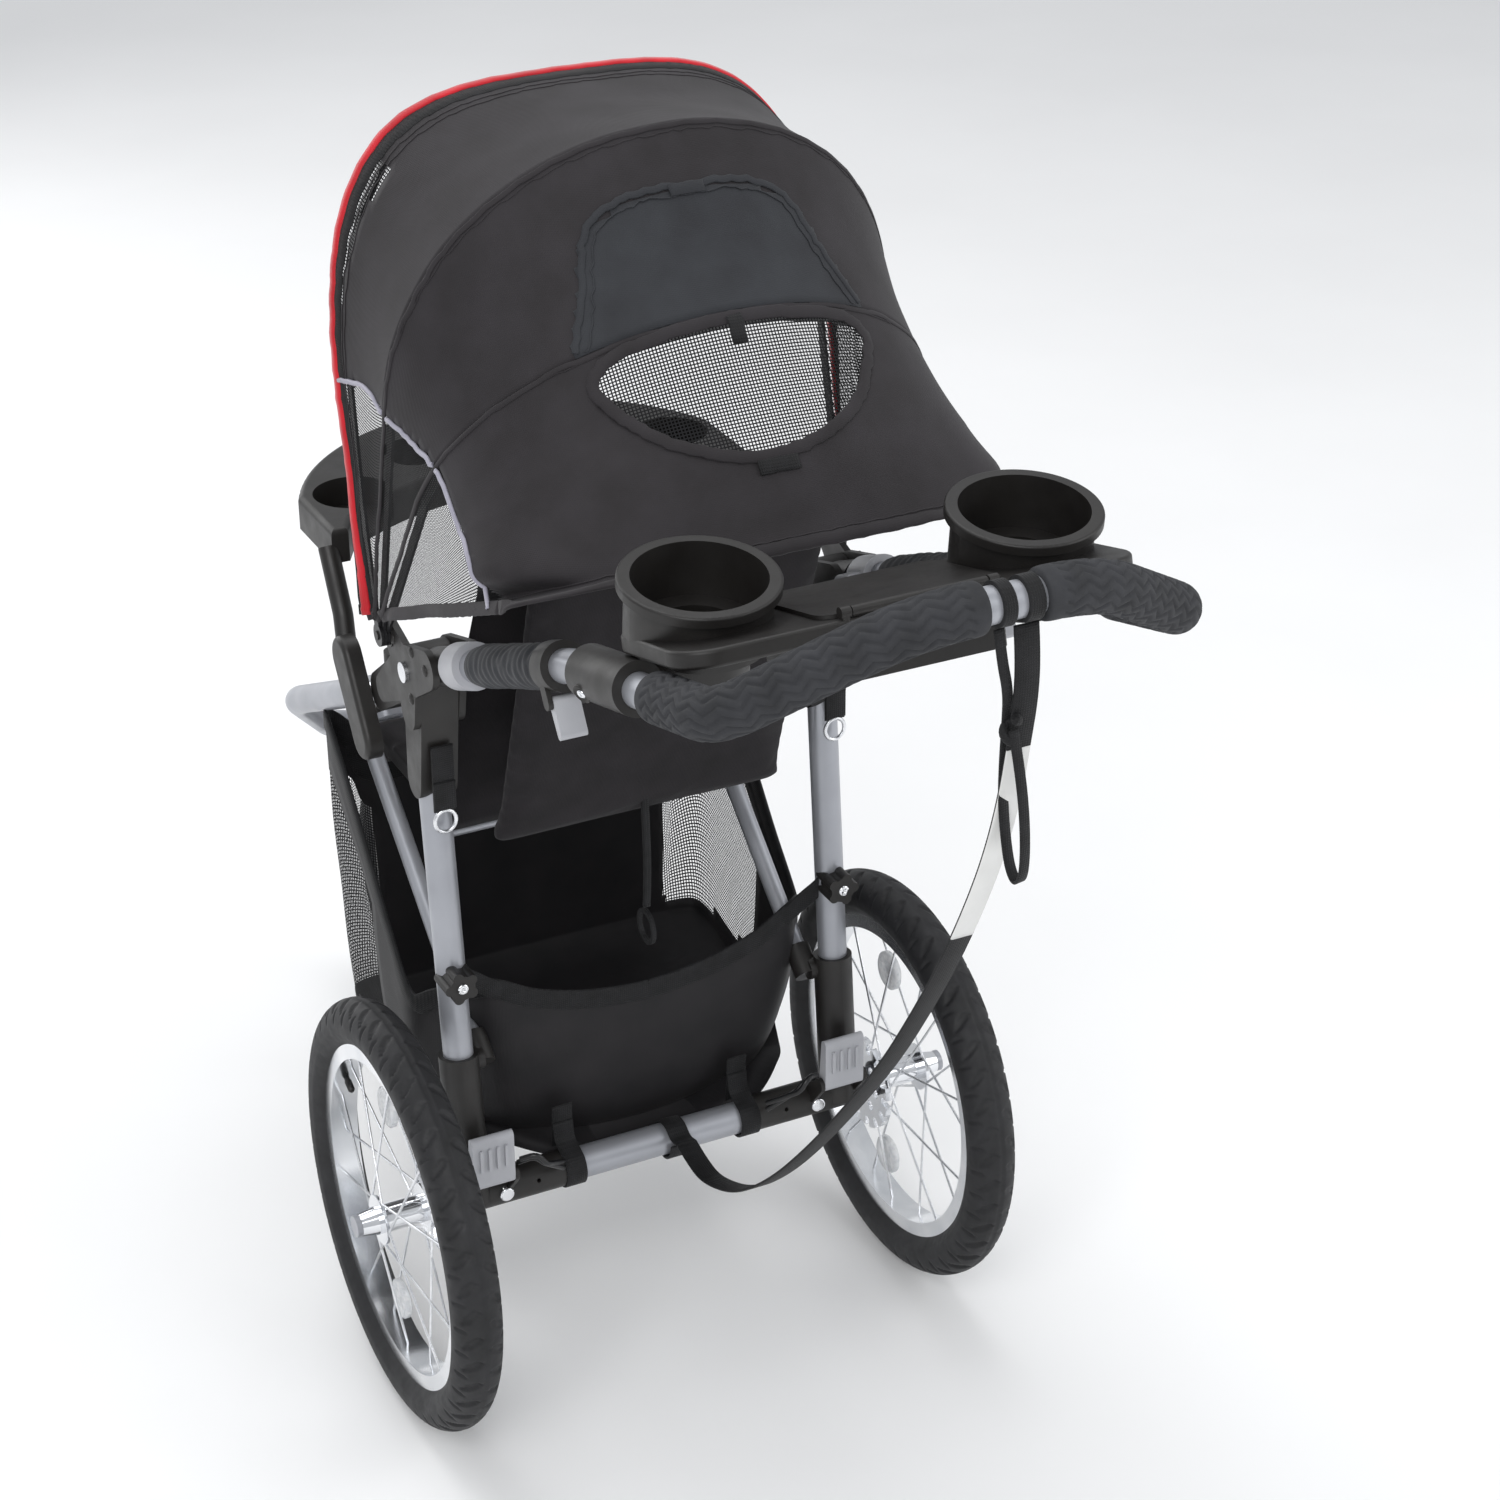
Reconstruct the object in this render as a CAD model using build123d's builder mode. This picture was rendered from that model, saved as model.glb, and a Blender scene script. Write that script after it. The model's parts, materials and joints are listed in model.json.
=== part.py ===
from build123d import *
import math
import os

# Three-wheeled jogging stroller: a tube frame on two 16 inch rear wheels and a 12 inch swivel
# front wheel, with a folding handle, a parent tray, a bow canopy, a seat, a child tray, a basket,
# foot brakes and a safety tether.
#
# X runs across the stroller (+X is the child's left), Y runs along it (the front is -Y), Z is up.
# The origin is on the floor, in the middle of the stroller's outline. Millimetres throughout.

# ---------------------------------------------------------------- driving sizes
WHEELBASE = 600.0
HANDLE_REACH = 608.0          # rear axle to the rear of the handle bar
FRAME_X = 188.0               # middle plane of the side tubes
TUBE_D = 27.0
TUBE_WALL = 1.5
FIT = 0.1                     # a tube in its socket, on the diameter
RUN = 0.05                    # a shaft in its hole, on the radius
GAP = 0.3                     # between pieces that move past each other

REAR_R = 200.0
FRONT_R = 152.0
REAR_TRACK = 254.0            # stroller's middle to a rear wheel's middle
TYRE_W = 45.0
TYRE_WALL = 4.0
TYRE_HEIGHT = 40.0            # tread to rim flange
RIM_W = 26.0
RIM_DEPTH = 14.0
RIM_LIP = 4.0
SPOKE_D = 2.4
AXLE_R = 6.0

AXLE_Y = (WHEELBASE + FRONT_R - HANDLE_REACH) / 2


def place(x, y, z):
    """A point measured from the middle of the rear axle, at floor level."""
    return Vector(x, AXLE_Y + y, z)


def side_plane(x):
    """The plane across X at x: its own x is the stroller's Y from the axle, its y is Z."""
    return Plane(origin=(x, AXLE_Y, 0), x_dir=(0, 1, 0), z_dir=(1, 0, 0))


def along(start, end, distance):
    """The point at a distance from start towards end."""
    return start + (end - start).normalized() * distance


def round_tube(points, outer, inner=0.0, radii=()):
    """A tube of outer and inner diameter through the points, with one bend radius a corner."""
    with BuildPart() as made:
        with BuildLine() as route:
            if radii:
                FilletPolyline(*points, radius=list(radii))
            else:
                Line(points[0], points[1])
        with BuildSketch(Plane(origin=route.line @ 0, z_dir=route.line % 0)):
            Circle(outer / 2)
            if inner:
                Circle(inner / 2, mode=Mode.SUBTRACT)
        sweep(path=route.line)
    return made


def rod(start, end, diameter, inner=0.0):
    """A straight round bar, or a sleeve with a bore."""
    return round_tube([start, end], diameter, inner)


def mirrored(piece):
    """The same piece on the stroller's other side."""
    with BuildPart() as other:
        mirror(piece.part, about=Plane.YZ)
    return other


def both(piece):
    """A left piece and its right twin as one group of separate solids."""
    with BuildPart() as pair:
        add(piece.part)
        mirror(piece.part, about=Plane.YZ)
    return pair


def joined(*pieces):
    """Several made pieces as one group."""
    with BuildPart() as group:
        for piece in pieces:
            add(piece.part)
    return group


def cut(piece, *tools):
    """A piece with the made tools taken out of it."""
    with BuildPart() as made:
        add(piece.part)
        for tool in tools:
            add(tool.part, mode=Mode.SUBTRACT)
    return made


def across(y, z, x_from, x_to, radius, inner=0.0):
    """A round bar along X, its middle at y from the axle and z."""
    return rod(place(x_from, y, z), place(x_to, y, z), 2 * radius, 2 * inner)


pieces = {}

# ---------------------------------------------------------------- frame lines
LEG_FOOT = place(FRAME_X, 4, REAR_R)
LEG_TOP = place(FRAME_X, -40, 652)
HINGE = (-26.0, 722.0)                    # the fold's pivot, y from the axle and z
TUBE_START = 30.0                         # handle tube's end to the pivot
HANDLE_BEND = place(FRAME_X, 280, 857)
HANDLE_CORNER = place(FRAME_X, 522, 924)
BAR_SHOULDER = place(70, 588, 999)
BEND_R = 120.0
CORNER_R = 45.0
SHOULDER_R = 120.0
FRONT_TOP = place(FRAME_X, -75, 682.5)
FRONT_BEND = place(FRAME_X, -399, 522)
FRONT_LOW = place(118, -520, 425)
FRONT_END = place(44, -592, 374)

hinge_point = place(FRAME_X, *HINGE)
tube_in = TUBE_D - 2 * TUBE_WALL

# ---------------------------------------------------------------- front frame
front_route = [FRONT_TOP, FRONT_BEND, FRONT_LOW, FRONT_END]
left_front_tube = round_tube(front_route, TUBE_D, tube_in, (90, 70))
pieces["left_front_tube"] = left_front_tube
pieces["right_front_tube"] = mirrored(left_front_tube)

# the head carries the fork's stem and the two tube ends
STEER_Y = -625.0
STEM_R = 8.0
HEAD_R = 27.0
HEAD_LOW = 342.0
HEAD_HIGH = 402.0
FORK_TOP = HEAD_LOW - 1.0
socket_d = TUBE_D + FIT
with BuildPart() as head_block:
    with BuildSketch(Plane(origin=place(0, STEER_Y, HEAD_LOW))):
        Circle(HEAD_R)
        with Locations((0, 34)):
            RectangleRounded(98, 44, 12)
        make_hull()
    extrude(amount=HEAD_HIGH - HEAD_LOW)
    fillet(head_block.edges().group_by(Axis.Z)[-1], 6)
left_socket = rod(along(FRONT_END, FRONT_LOW, 40), along(FRONT_END, FRONT_LOW, -12), 2 * 19.0)
socket_bore = rod(along(FRONT_END, FRONT_LOW, 60), FRONT_END, socket_d)
stem_bore = rod(place(0, STEER_Y, HEAD_LOW - 5), place(0, STEER_Y, HEAD_HIGH - 8), 2 * (STEM_R + RUN))
LOCK_R = 4.0
LOCK_OFFSET = 17.0
lock_bore = rod(
    place(0, STEER_Y - LOCK_OFFSET, HEAD_LOW - 5),
    place(0, STEER_Y - LOCK_OFFSET, HEAD_HIGH + 5),
    2 * (LOCK_R + RUN),
)
front_head = cut(
    joined(head_block, left_socket, mirrored(left_socket)),
    socket_bore,
    mirrored(socket_bore),
    stem_bore,
    lock_bore,
)
pieces["front_head"] = front_head

# two tubes cross between the side tubes, under the seat's front and behind the footrest
cross_half = FRAME_X - TUBE_D / 2 - FIT
CROSS_D = 19.0
seat_cross = across(-372, 535, -cross_half, cross_half, CROSS_D / 2, CROSS_D / 2 - TUBE_WALL)

with BuildPart() as footrest_plate:
    with BuildSketch(Plane(origin=place(0, -500, 420), x_dir=(1, 0, 0), z_dir=(0, -0.62, 0.785))):
        RectangleRounded(170, 96, 14)
        with GridLocations(0, 22, 1, 3):
            SlotOverall(110, 7, mode=Mode.SUBTRACT)
    extrude(amount=6)
foot_bar = across(-478, 428, -132, 132, 6)
pieces["footrest"] = joined(footrest_plate, foot_bar)

# ---------------------------------------------------------------- hinge knuckles, rear legs
KNUCKLE_HALF = 16.7
PLATE_IN = 17.0               # middle plane of the tubes to a hinge plate's inner face
PLATE_T = 6.0
PIN_R = 5.0
with BuildPart() as knuckle_block:
    with BuildSketch(side_plane(FRAME_X - KNUCKLE_HALF)):
        with Locations(HINGE):
            Circle(22)
        with Locations((-36, 612)):
            Circle(15.5)
        make_hull()
    extrude(amount=2 * KNUCKLE_HALF)
    with BuildSketch(side_plane(FRAME_X - KNUCKLE_HALF)):
        with Locations(HINGE):
            Circle(22)
        with Locations((-116, 662)):
            Circle(17)
        make_hull()
    extrude(amount=2 * KNUCKLE_HALF)
leg_bore = rod(LEG_TOP, along(LEG_TOP, LEG_FOOT, 80), socket_d)
front_bore = rod(FRONT_TOP, along(FRONT_TOP, FRONT_BEND, 80), socket_d)
pin_bore = across(*HINGE, FRAME_X - 20, FRAME_X + 20, PIN_R + RUN)
left_knuckle = cut(knuckle_block, leg_bore, front_bore, pin_bore)
pieces["frame_knuckles"] = both(left_knuckle)

left_rear_leg = rod(LEG_TOP, along(LEG_FOOT, LEG_TOP, 24), TUBE_D, tube_in)
pieces["rear_legs"] = both(left_rear_leg)

# a brace runs from a boss low on each leg, up and forward to the front tube
BRACE_X = 164.0
BRACE_D = 17.0
BRACE_TOP = place(BRACE_X, -300, 566)
BRACE_FOOT = place(BRACE_X, -20, 331)
brace_route = [
    BRACE_FOOT,
    place(BRACE_X, -83, 382),
    place(BRACE_X, -167, 454),
    BRACE_TOP,
]
brace = round_tube(brace_route, BRACE_D, BRACE_D - 2 * TUBE_WALL, (70, 140))
pieces["brace_tubes"] = both(brace)

# ---------------------------------------------------------------- rear axle
SLEEVE_R = 17.0
SLEEVE_IN = 95.0
SLEEVE_OUT = 206.0
LEG_SOCKET_R = 18.0
LEG_SOCKET_TOP = 346.0
AXLE_TUBE_R = 15.0
AXLE_TUBE_HALF = 124.0
BUTTON_X = 159.0
BUTTON_Z = REAR_R + 2
BUTTON_R = 7.0
BUTTON_TRAVEL = 2.5
PEDAL_X = 177.0
PEDAL_W = 40.0
PEDAL_AXIS = (30.0, 232.0)
PEDAL_PIN_R = 3.0
EAR_T = 4.0
HUB_HALF = 40.0
CABLE_D = 5.0

leg_axis = (LEG_TOP - LEG_FOOT).normalized()
socket_low = LEG_FOOT - leg_axis * 4
socket_high = LEG_FOOT + leg_axis * (LEG_SOCKET_TOP - REAR_R)
sleeve = across(0, REAR_R, SLEEVE_IN, SLEEVE_OUT, SLEEVE_R)
leg_socket = rod(socket_low, socket_high, 2 * LEG_SOCKET_R)
ear_far = PEDAL_W / 2 + GAP + EAR_T
with BuildPart() as pedal_ears:
    for ear_x in (PEDAL_X - ear_far, PEDAL_X + ear_far - EAR_T):
        with BuildSketch(side_plane(ear_x)):
            with Locations(PEDAL_AXIS):
                Circle(7)
            with Locations((0, REAR_R)):
                Circle(10)
            make_hull()
        extrude(amount=EAR_T)
pedal_pin = across(*PEDAL_AXIS, PEDAL_X - ear_far, PEDAL_X + ear_far, PEDAL_PIN_R)
BOSS_R = 12.0
brace_boss = joined(
    rod(along(BRACE_FOOT, brace_route[1], -8), along(BRACE_FOOT, brace_route[1], 22), 2 * BOSS_R),
    across(-15, 332, BRACE_X, FRAME_X, BOSS_R - 2),
)
left_axle_bracket = cut(
    joined(sleeve, leg_socket, pedal_ears, pedal_pin, brace_boss),
    rod(BRACE_FOOT, brace_route[1], BRACE_D + FIT),
    across(0, REAR_R, SLEEVE_IN - 1, AXLE_TUBE_HALF + 1, AXLE_TUBE_R + FIT / 2),
    across(0, REAR_R, AXLE_TUBE_HALF, SLEEVE_OUT - 14, SLEEVE_R - 4),
    across(0, REAR_R, SLEEVE_OUT - 16, SLEEVE_OUT + 1, AXLE_R + FIT / 2),
    rod(LEG_FOOT + leg_axis * 24, socket_high + leg_axis * 5, socket_d),
    rod(place(BUTTON_X, 5, BUTTON_Z), place(BUTTON_X, 25, BUTTON_Z), 2 * (BUTTON_R + RUN)),
    rod(place(126.5, 5, REAR_R + 5), place(126.5, 25, REAR_R + 5), 4.0),
)
pieces["left_axle_bracket"] = left_axle_bracket
pieces["right_axle_bracket"] = mirrored(left_axle_bracket)
axle_tube = across(
    0, REAR_R, -AXLE_TUBE_HALF, AXLE_TUBE_HALF, AXLE_TUBE_R, AXLE_TUBE_R - TUBE_WALL
)

STUB_HEAD = 299.0
stub_axle = joined(
    across(0, REAR_R, SLEEVE_OUT - 14, STUB_HEAD - 4, AXLE_R),
    across(0, REAR_R, SLEEVE_OUT, REAR_TRACK - HUB_HALF - GAP, 13),
    across(0, REAR_R, REAR_TRACK + HUB_HALF + GAP, STUB_HEAD, 10),
)
pieces["rear_axle"] = joined(axle_tube, stub_axle, mirrored(stub_axle))

# spring buttons stand out of the sleeves' rear wall
with BuildPart() as left_button:
    with BuildSketch(Plane(origin=place(BUTTON_X, 7.5, BUTTON_Z), x_dir=(1, 0, 0), z_dir=(0, 1, 0))):
        Circle(BUTTON_R)
    extrude(amount=13)
    fillet(left_button.edges().group_by(Axis.Y)[-1], 2)
pieces["left_axle_button"] = left_button
pieces["right_axle_button"] = mirrored(left_button)

# a foot brake leans back from its pin: a barrel and a ribbed plate
PEDAL_H = 58.0
PEDAL_T = 9.0
with BuildPart() as left_pedal:
    with BuildSketch(side_plane(PEDAL_X - PEDAL_W / 2)):
        with Locations(PEDAL_AXIS):
            Circle(6.5)
        with Locations((PEDAL_AXIS[0] + 2, PEDAL_AXIS[1] + PEDAL_H - 14)):
            Circle(PEDAL_T / 2)
        make_hull()
    extrude(amount=PEDAL_W)
    with BuildSketch(side_plane(PEDAL_X - PEDAL_W / 2 - 1)):
        with Locations(PEDAL_AXIS):
            Circle(PEDAL_PIN_R + RUN)
    extrude(amount=PEDAL_W + 2, mode=Mode.SUBTRACT)
    rear_plane = Plane(
        origin=place(PEDAL_X, PEDAL_AXIS[0] + 5, PEDAL_AXIS[1] + 26), x_dir=(-1, 0, 0), z_dir=(0, 1, 0)
    )
    with BuildSketch(rear_plane):
        with GridLocations(8, 0, 4, 1):
            RectangleRounded(3.2, 24, 1.5)
    extrude(amount=4)
pieces["left_brake_pedal"] = left_pedal
pieces["right_brake_pedal"] = mirrored(left_pedal)

# two cables run from each pedal's foot, along the sleeve, to a clip on the axle
left_cables = [
    round_tube(
        [
            place(PEDAL_X - 27, 25 + lift, 238 + 8 * lift / 7),
            place(PEDAL_X - 40, 34 + lift, 246 + lift),
            place(128, 34 + lift, 236 + lift / 2),
            place(104, 19.5, 214 + lift),
        ],
        CABLE_D,
        0.0,
        (8, 14),
    )
    for lift in (0, 7)
]
left_cable_pair = joined(*left_cables)
pieces["brake_cables"] = both(left_cable_pair)

# ---------------------------------------------------------------- wheels
def wheel_plane(x, y, z):
    """A plane through a wheel's middle: its x is the wheel's axle, its y a radius."""
    return Plane(origin=place(x, y, z), x_dir=(1, 0, 0), z_dir=(0, 0, 1))


def wheel_axis(x, y, z):
    return Axis(place(x, y, z), (1, 0, 0))


def tyre(x, y, radius):
    """An open C of rubber whose beads rest on the rim's two lips."""
    bed = radius - TYRE_HEIGHT
    with BuildPart() as made:
        with BuildSketch(wheel_plane(x, y, radius)):
            with Locations((0, radius - TYRE_W / 2)):
                Circle(TYRE_W / 2)
                Circle(TYRE_W / 2 - TYRE_WALL, mode=Mode.SUBTRACT)
            with Locations((0, bed)):
                Rectangle(2 * TYRE_W, 2 * TYRE_W, align=(Align.CENTER, Align.MAX), mode=Mode.SUBTRACT)
        revolve(axis=wheel_axis(x, y, radius))
    return made


def rim(x, y, radius):
    """A channel ring, open towards the tyre."""
    lip = radius - TYRE_HEIGHT
    with BuildPart() as made:
        with BuildSketch(wheel_plane(x, y, radius)):
            with Locations((0, lip)):
                Rectangle(RIM_W, RIM_DEPTH, align=(Align.CENTER, Align.MAX))
                Rectangle(
                    RIM_W - 2 * RIM_LIP,
                    2 * (RIM_DEPTH - RIM_LIP),
                    mode=Mode.SUBTRACT,
                )
        revolve(axis=wheel_axis(x, y, radius))
    return made


def hub(x, y, radius, half, flange_x, flange_r, bore_r):
    """A turned hub: a barrel, two spoke flanges and two end cones."""
    with BuildPart() as made:
        with BuildSketch(wheel_plane(x, y, radius)):
            with BuildLine():
                Polyline(
                    (-half, bore_r),
                    (-half, 10),
                    (-flange_x - 4, 13),
                    (-flange_x - 1.5, 13),
                    (-flange_x - 1.5, flange_r),
                    (-flange_x + 1.5, flange_r),
                    (-flange_x + 1.5, 13),
                    (flange_x - 1.5, 13),
                    (flange_x - 1.5, flange_r),
                    (flange_x + 1.5, flange_r),
                    (flange_x + 1.5, 13),
                    (flange_x + 4, 13),
                    (half, 10),
                    (half, bore_r),
                    close=True,
                )
            make_face()
        revolve(axis=wheel_axis(x, y, radius))
    return made


def spokes(x, y, radius, count, flange_x, flange_r):
    """Crossed wire spokes from the hub's flanges to the rim."""
    outer = radius - TYRE_HEIGHT - RIM_DEPTH + 1.0
    inner = flange_r - 2.0
    middle = place(x, y, radius)
    with BuildPart() as made:
        for number in range(count):
            side = 1 if number % 2 else -1
            lead = 1 if number % 4 < 2 else -1
            rim_angle = math.tau * number / count
            hub_angle = rim_angle + lead * math.radians(62)
            start = middle + Vector(
                side * flange_x, inner * math.cos(hub_angle), inner * math.sin(hub_angle)
            )
            end = middle + Vector(side * 2.0, outer * math.cos(rim_angle), outer * math.sin(rim_angle))
            with BuildSketch(Plane(origin=start, z_dir=end - start)):
                Circle(SPOKE_D / 2)
            extrude(amount=(end - start).length)
    return made


HUB_FLANGE_X = 21.0
HUB_FLANGE_R = 23.0
REAR_SPOKES = 20
FRONT_SPOKES = 16
DISC_R = 46.0
DISC_T = 6.0


def brake_disc(x, y, radius, outward):
    """The toothed disc that the brake's pin drops into, on the hub's inner end."""
    inner_face = x - outward * (HUB_HALF - 3)
    with BuildPart() as made:
        with BuildSketch(Plane(origin=place(inner_face, y, radius), x_dir=(0, 1, 0), z_dir=(outward, 0, 0))):
            Circle(DISC_R)
            Circle(13.2, mode=Mode.SUBTRACT)
            with PolarLocations(DISC_R - 4, 14):
                RectangleRounded(12, 8, 3, mode=Mode.SUBTRACT)
            with PolarLocations(24, 7):
                Circle(5, mode=Mode.SUBTRACT)
        extrude(amount=DISC_T)
        with BuildSketch(Plane(origin=place(inner_face, y, radius), x_dir=(0, 1, 0), z_dir=(outward, 0, 0))):
            Circle(17)
            Circle(13.2, mode=Mode.SUBTRACT)
        extrude(amount=11)
    return made


rear_bore = AXLE_R + RUN
for side_name, side in (("left", 1), ("right", -1)):
    wheel_x = side * REAR_TRACK
    pieces[f"{side_name}_tyre"] = tyre(wheel_x, 0, REAR_R)
    pieces[f"{side_name}_rim"] = rim(wheel_x, 0, REAR_R)
    pieces[f"{side_name}_spokes"] = spokes(wheel_x, 0, REAR_R, REAR_SPOKES, HUB_FLANGE_X, HUB_FLANGE_R)
    pieces[f"{side_name}_hub"] = joined(
        hub(wheel_x, 0, REAR_R, HUB_HALF, HUB_FLANGE_X, HUB_FLANGE_R, rear_bore),
        brake_disc(wheel_x, 0, REAR_R, side),
    )

# ---------------------------------------------------------------- front wheel and fork
FRONT_Y = -WHEELBASE
FRONT_HUB_HALF = 33.0
FORK_IN = FRONT_HUB_HALF + GAP
FORK_T = 9.0
FORK_AXLE_END = FORK_IN + FORK_T + 5
pieces["front_tyre"] = tyre(0, FRONT_Y, FRONT_R)
pieces["front_rim"] = rim(0, FRONT_Y, FRONT_R)
pieces["front_spokes"] = spokes(0, FRONT_Y, FRONT_R, FRONT_SPOKES, HUB_FLANGE_X - 3, HUB_FLANGE_R - 3)
pieces["front_hub"] = hub(0, FRONT_Y, FRONT_R, FRONT_HUB_HALF, HUB_FLANGE_X - 3, HUB_FLANGE_R - 3, rear_bore)
pieces["front_axle"] = joined(
    across(FRONT_Y, FRONT_R, -FORK_AXLE_END, FORK_AXLE_END, AXLE_R),
    across(FRONT_Y, FRONT_R, FORK_IN + FORK_T, FORK_AXLE_END, 9),
    across(FRONT_Y, FRONT_R, -FORK_AXLE_END, -FORK_IN - FORK_T, 9),
)
CROWN_LOW = 314.0
with BuildPart() as fork:
    for blade_x in (FORK_IN, -FORK_IN - FORK_T):
        with BuildSketch(side_plane(blade_x)):
            with Locations((FRONT_Y, FRONT_R)):
                Circle(15)
            with Locations((STEER_Y, CROWN_LOW + 8)):
                Circle(20)
            make_hull()
        extrude(amount=FORK_T)
        with BuildSketch(side_plane(blade_x - 1)):
            with Locations((FRONT_Y, FRONT_R)):
                Circle(AXLE_R + FIT / 2)
        extrude(amount=FORK_T + 2, mode=Mode.SUBTRACT)
    with BuildSketch(Plane(origin=place(0, STEER_Y, CROWN_LOW))):
        RectangleRounded(2 * (FORK_IN + FORK_T), 54, 14)
    extrude(amount=FORK_TOP - CROWN_LOW)
    with BuildSketch(Plane(origin=place(0, STEER_Y, CROWN_LOW))):
        with Locations((0, -LOCK_OFFSET)):
            Circle(LOCK_R + RUN)
    extrude(amount=60, mode=Mode.SUBTRACT)
    with BuildSketch(Plane(origin=place(0, STEER_Y, CROWN_LOW + 2))):
        Circle(STEM_R)
    extrude(amount=HEAD_HIGH - 12 - CROWN_LOW - 2)
pieces["front_fork"] = fork

# the swivel lock's pin slides in the head, and pressed down it stops just above the crown
LOCK_TRAVEL = 10.0
swivel_lock = joined(
    rod(place(0, STEER_Y - LOCK_OFFSET, HEAD_LOW + LOCK_TRAVEL), place(0, STEER_Y - LOCK_OFFSET, HEAD_HIGH + 12),
        2 * LOCK_R),
    rod(place(0, STEER_Y - LOCK_OFFSET, HEAD_HIGH + LOCK_TRAVEL + 1),
        place(0, STEER_Y - LOCK_OFFSET, HEAD_HIGH + LOCK_TRAVEL + 15), 24.0),
)
pieces["swivel_lock"] = swivel_lock

# ---------------------------------------------------------------- folding handle
PLATE_OUT_X = FRAME_X + PLATE_IN
handle_dir = (HANDLE_BEND - hinge_point).normalized()
tube_end = hinge_point + handle_dir * TUBE_START
half_route = [tube_end, HANDLE_BEND, HANDLE_CORNER, BAR_SHOULDER]
other_half = [Vector(-p.X, p.Y, p.Z) for p in reversed(half_route)]
handle_tube = round_tube(
    half_route + other_half,
    TUBE_D,
    tube_in,
    (BEND_R, CORNER_R, SHOULDER_R, SHOULDER_R, CORNER_R, BEND_R),
)
pieces["handle_tube"] = handle_tube

GRIP_D = 40.0
GRIP_END_X = 22.0
GRIP_REACH = 96.0             # how far the grip runs down the side tube from the corner
grip_half = [along(HANDLE_CORNER, HANDLE_BEND, GRIP_REACH), HANDLE_CORNER, BAR_SHOULDER]
grip_other = [Vector(-p.X, p.Y, p.Z) for p in reversed(grip_half)]
grip_whole = round_tube(
    grip_half + grip_other,
    GRIP_D,
    TUBE_D + FIT,
    (CORNER_R, SHOULDER_R, SHOULDER_R, CORNER_R),
)
with BuildPart() as grips:
    add(grip_whole.part)
    with BuildSketch(Plane(origin=place(0, BAR_SHOULDER.Y - AXLE_Y, BAR_SHOULDER.Z))):
        Rectangle(2 * GRIP_END_X, 100)
    extrude(amount=100, both=True, mode=Mode.SUBTRACT)
pieces["grips"] = grips

CANOPY_AXIS = (-61.0, 743.0)
PLATE_OUTER_FACE = PLATE_OUT_X + PLATE_T
SOCKET_END = 68.0
with BuildPart() as plates:
    for plate_x in (FRAME_X - PLATE_IN - PLATE_T, PLATE_OUT_X):
        for lobe, lobe_r in (((-88, 679), 12), ((-24, 684), 15), ((24, 745), 17)):
            with BuildSketch(side_plane(plate_x)):
                with Locations(HINGE):
                    Circle(24)
                with Locations(lobe):
                    Circle(lobe_r)
                make_hull()
            extrude(amount=PLATE_T)
    with BuildSketch(side_plane(PLATE_OUT_X)):
        with Locations(HINGE):
            Circle(24)
        with Locations(CANOPY_AXIS):
            Circle(14)
        make_hull()
    extrude(amount=PLATE_T)
tube_socket = rod(hinge_point + handle_dir * 27, hinge_point + handle_dir * SOCKET_END, 2 * PLATE_IN)
canopy_boss = across(*CANOPY_AXIS, PLATE_OUTER_FACE - 1, PLATE_OUTER_FACE + 1, 12)
canopy_pin = across(*CANOPY_AXIS, PLATE_OUTER_FACE, PLATE_OUTER_FACE + 11, 4)
left_plates = cut(
    joined(plates, tube_socket, canopy_boss, canopy_pin),
    rod(tube_end, hinge_point + handle_dir * 90, socket_d),
    across(*HINGE, FRAME_X - 30, FRAME_X + 30, PIN_R + FIT / 2),
)
pieces["hinge_plates"] = both(left_plates)
hinge_pin = joined(
    across(*HINGE, FRAME_X - PLATE_IN - PLATE_T - 3, PLATE_OUTER_FACE + 3, PIN_R),
    across(*HINGE, PLATE_OUTER_FACE, PLATE_OUTER_FACE + 3, 9),
    across(*HINGE, FRAME_X - PLATE_IN - PLATE_T - 3, FRAME_X - PLATE_IN - PLATE_T, 9),
)

# a lock collar slides on each side tube; a lever under a second collar draws it back
SLIDE_FROM = 79.0
SLIDE_LONG = 34.0
SLIDE_TRAVEL = 14.0
SLEEVE_FROM = 131.0
SLEEVE_TO = 290.0
COLLAR_FROM = 293.0
COLLAR_TO = 317.0
COLLAR_D = 40.0
slide_start = hinge_point + handle_dir * SLIDE_FROM
slide_end = hinge_point + handle_dir * (SLIDE_FROM + SLIDE_LONG)
slide_wing = place(FRAME_X - 22, (slide_start.Y + slide_end.Y) / 2 - AXLE_Y, (slide_start.Z + slide_end.Z) / 2)
with BuildPart() as wing:
    with BuildSketch(Plane(origin=slide_wing, x_dir=(1, 0, 0), z_dir=handle_dir)):
        RectangleRounded(24, 17, 6)
    extrude(amount=SLIDE_LONG / 3, both=True)
left_lock_slide = cut(
    joined(rod(slide_start, slide_end, COLLAR_D), wing),
    rod(hinge_point, HANDLE_BEND, TUBE_D + 2 * RUN),
)
pieces["left_lock_slide"] = left_lock_slide
pieces["right_lock_slide"] = mirrored(left_lock_slide)

left_sleeve = rod(
    hinge_point + handle_dir * SLEEVE_FROM, hinge_point + handle_dir * SLEEVE_TO, 37.0, TUBE_D + 2 * GAP
)
pieces["tube_sleeves"] = both(left_sleeve)

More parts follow.
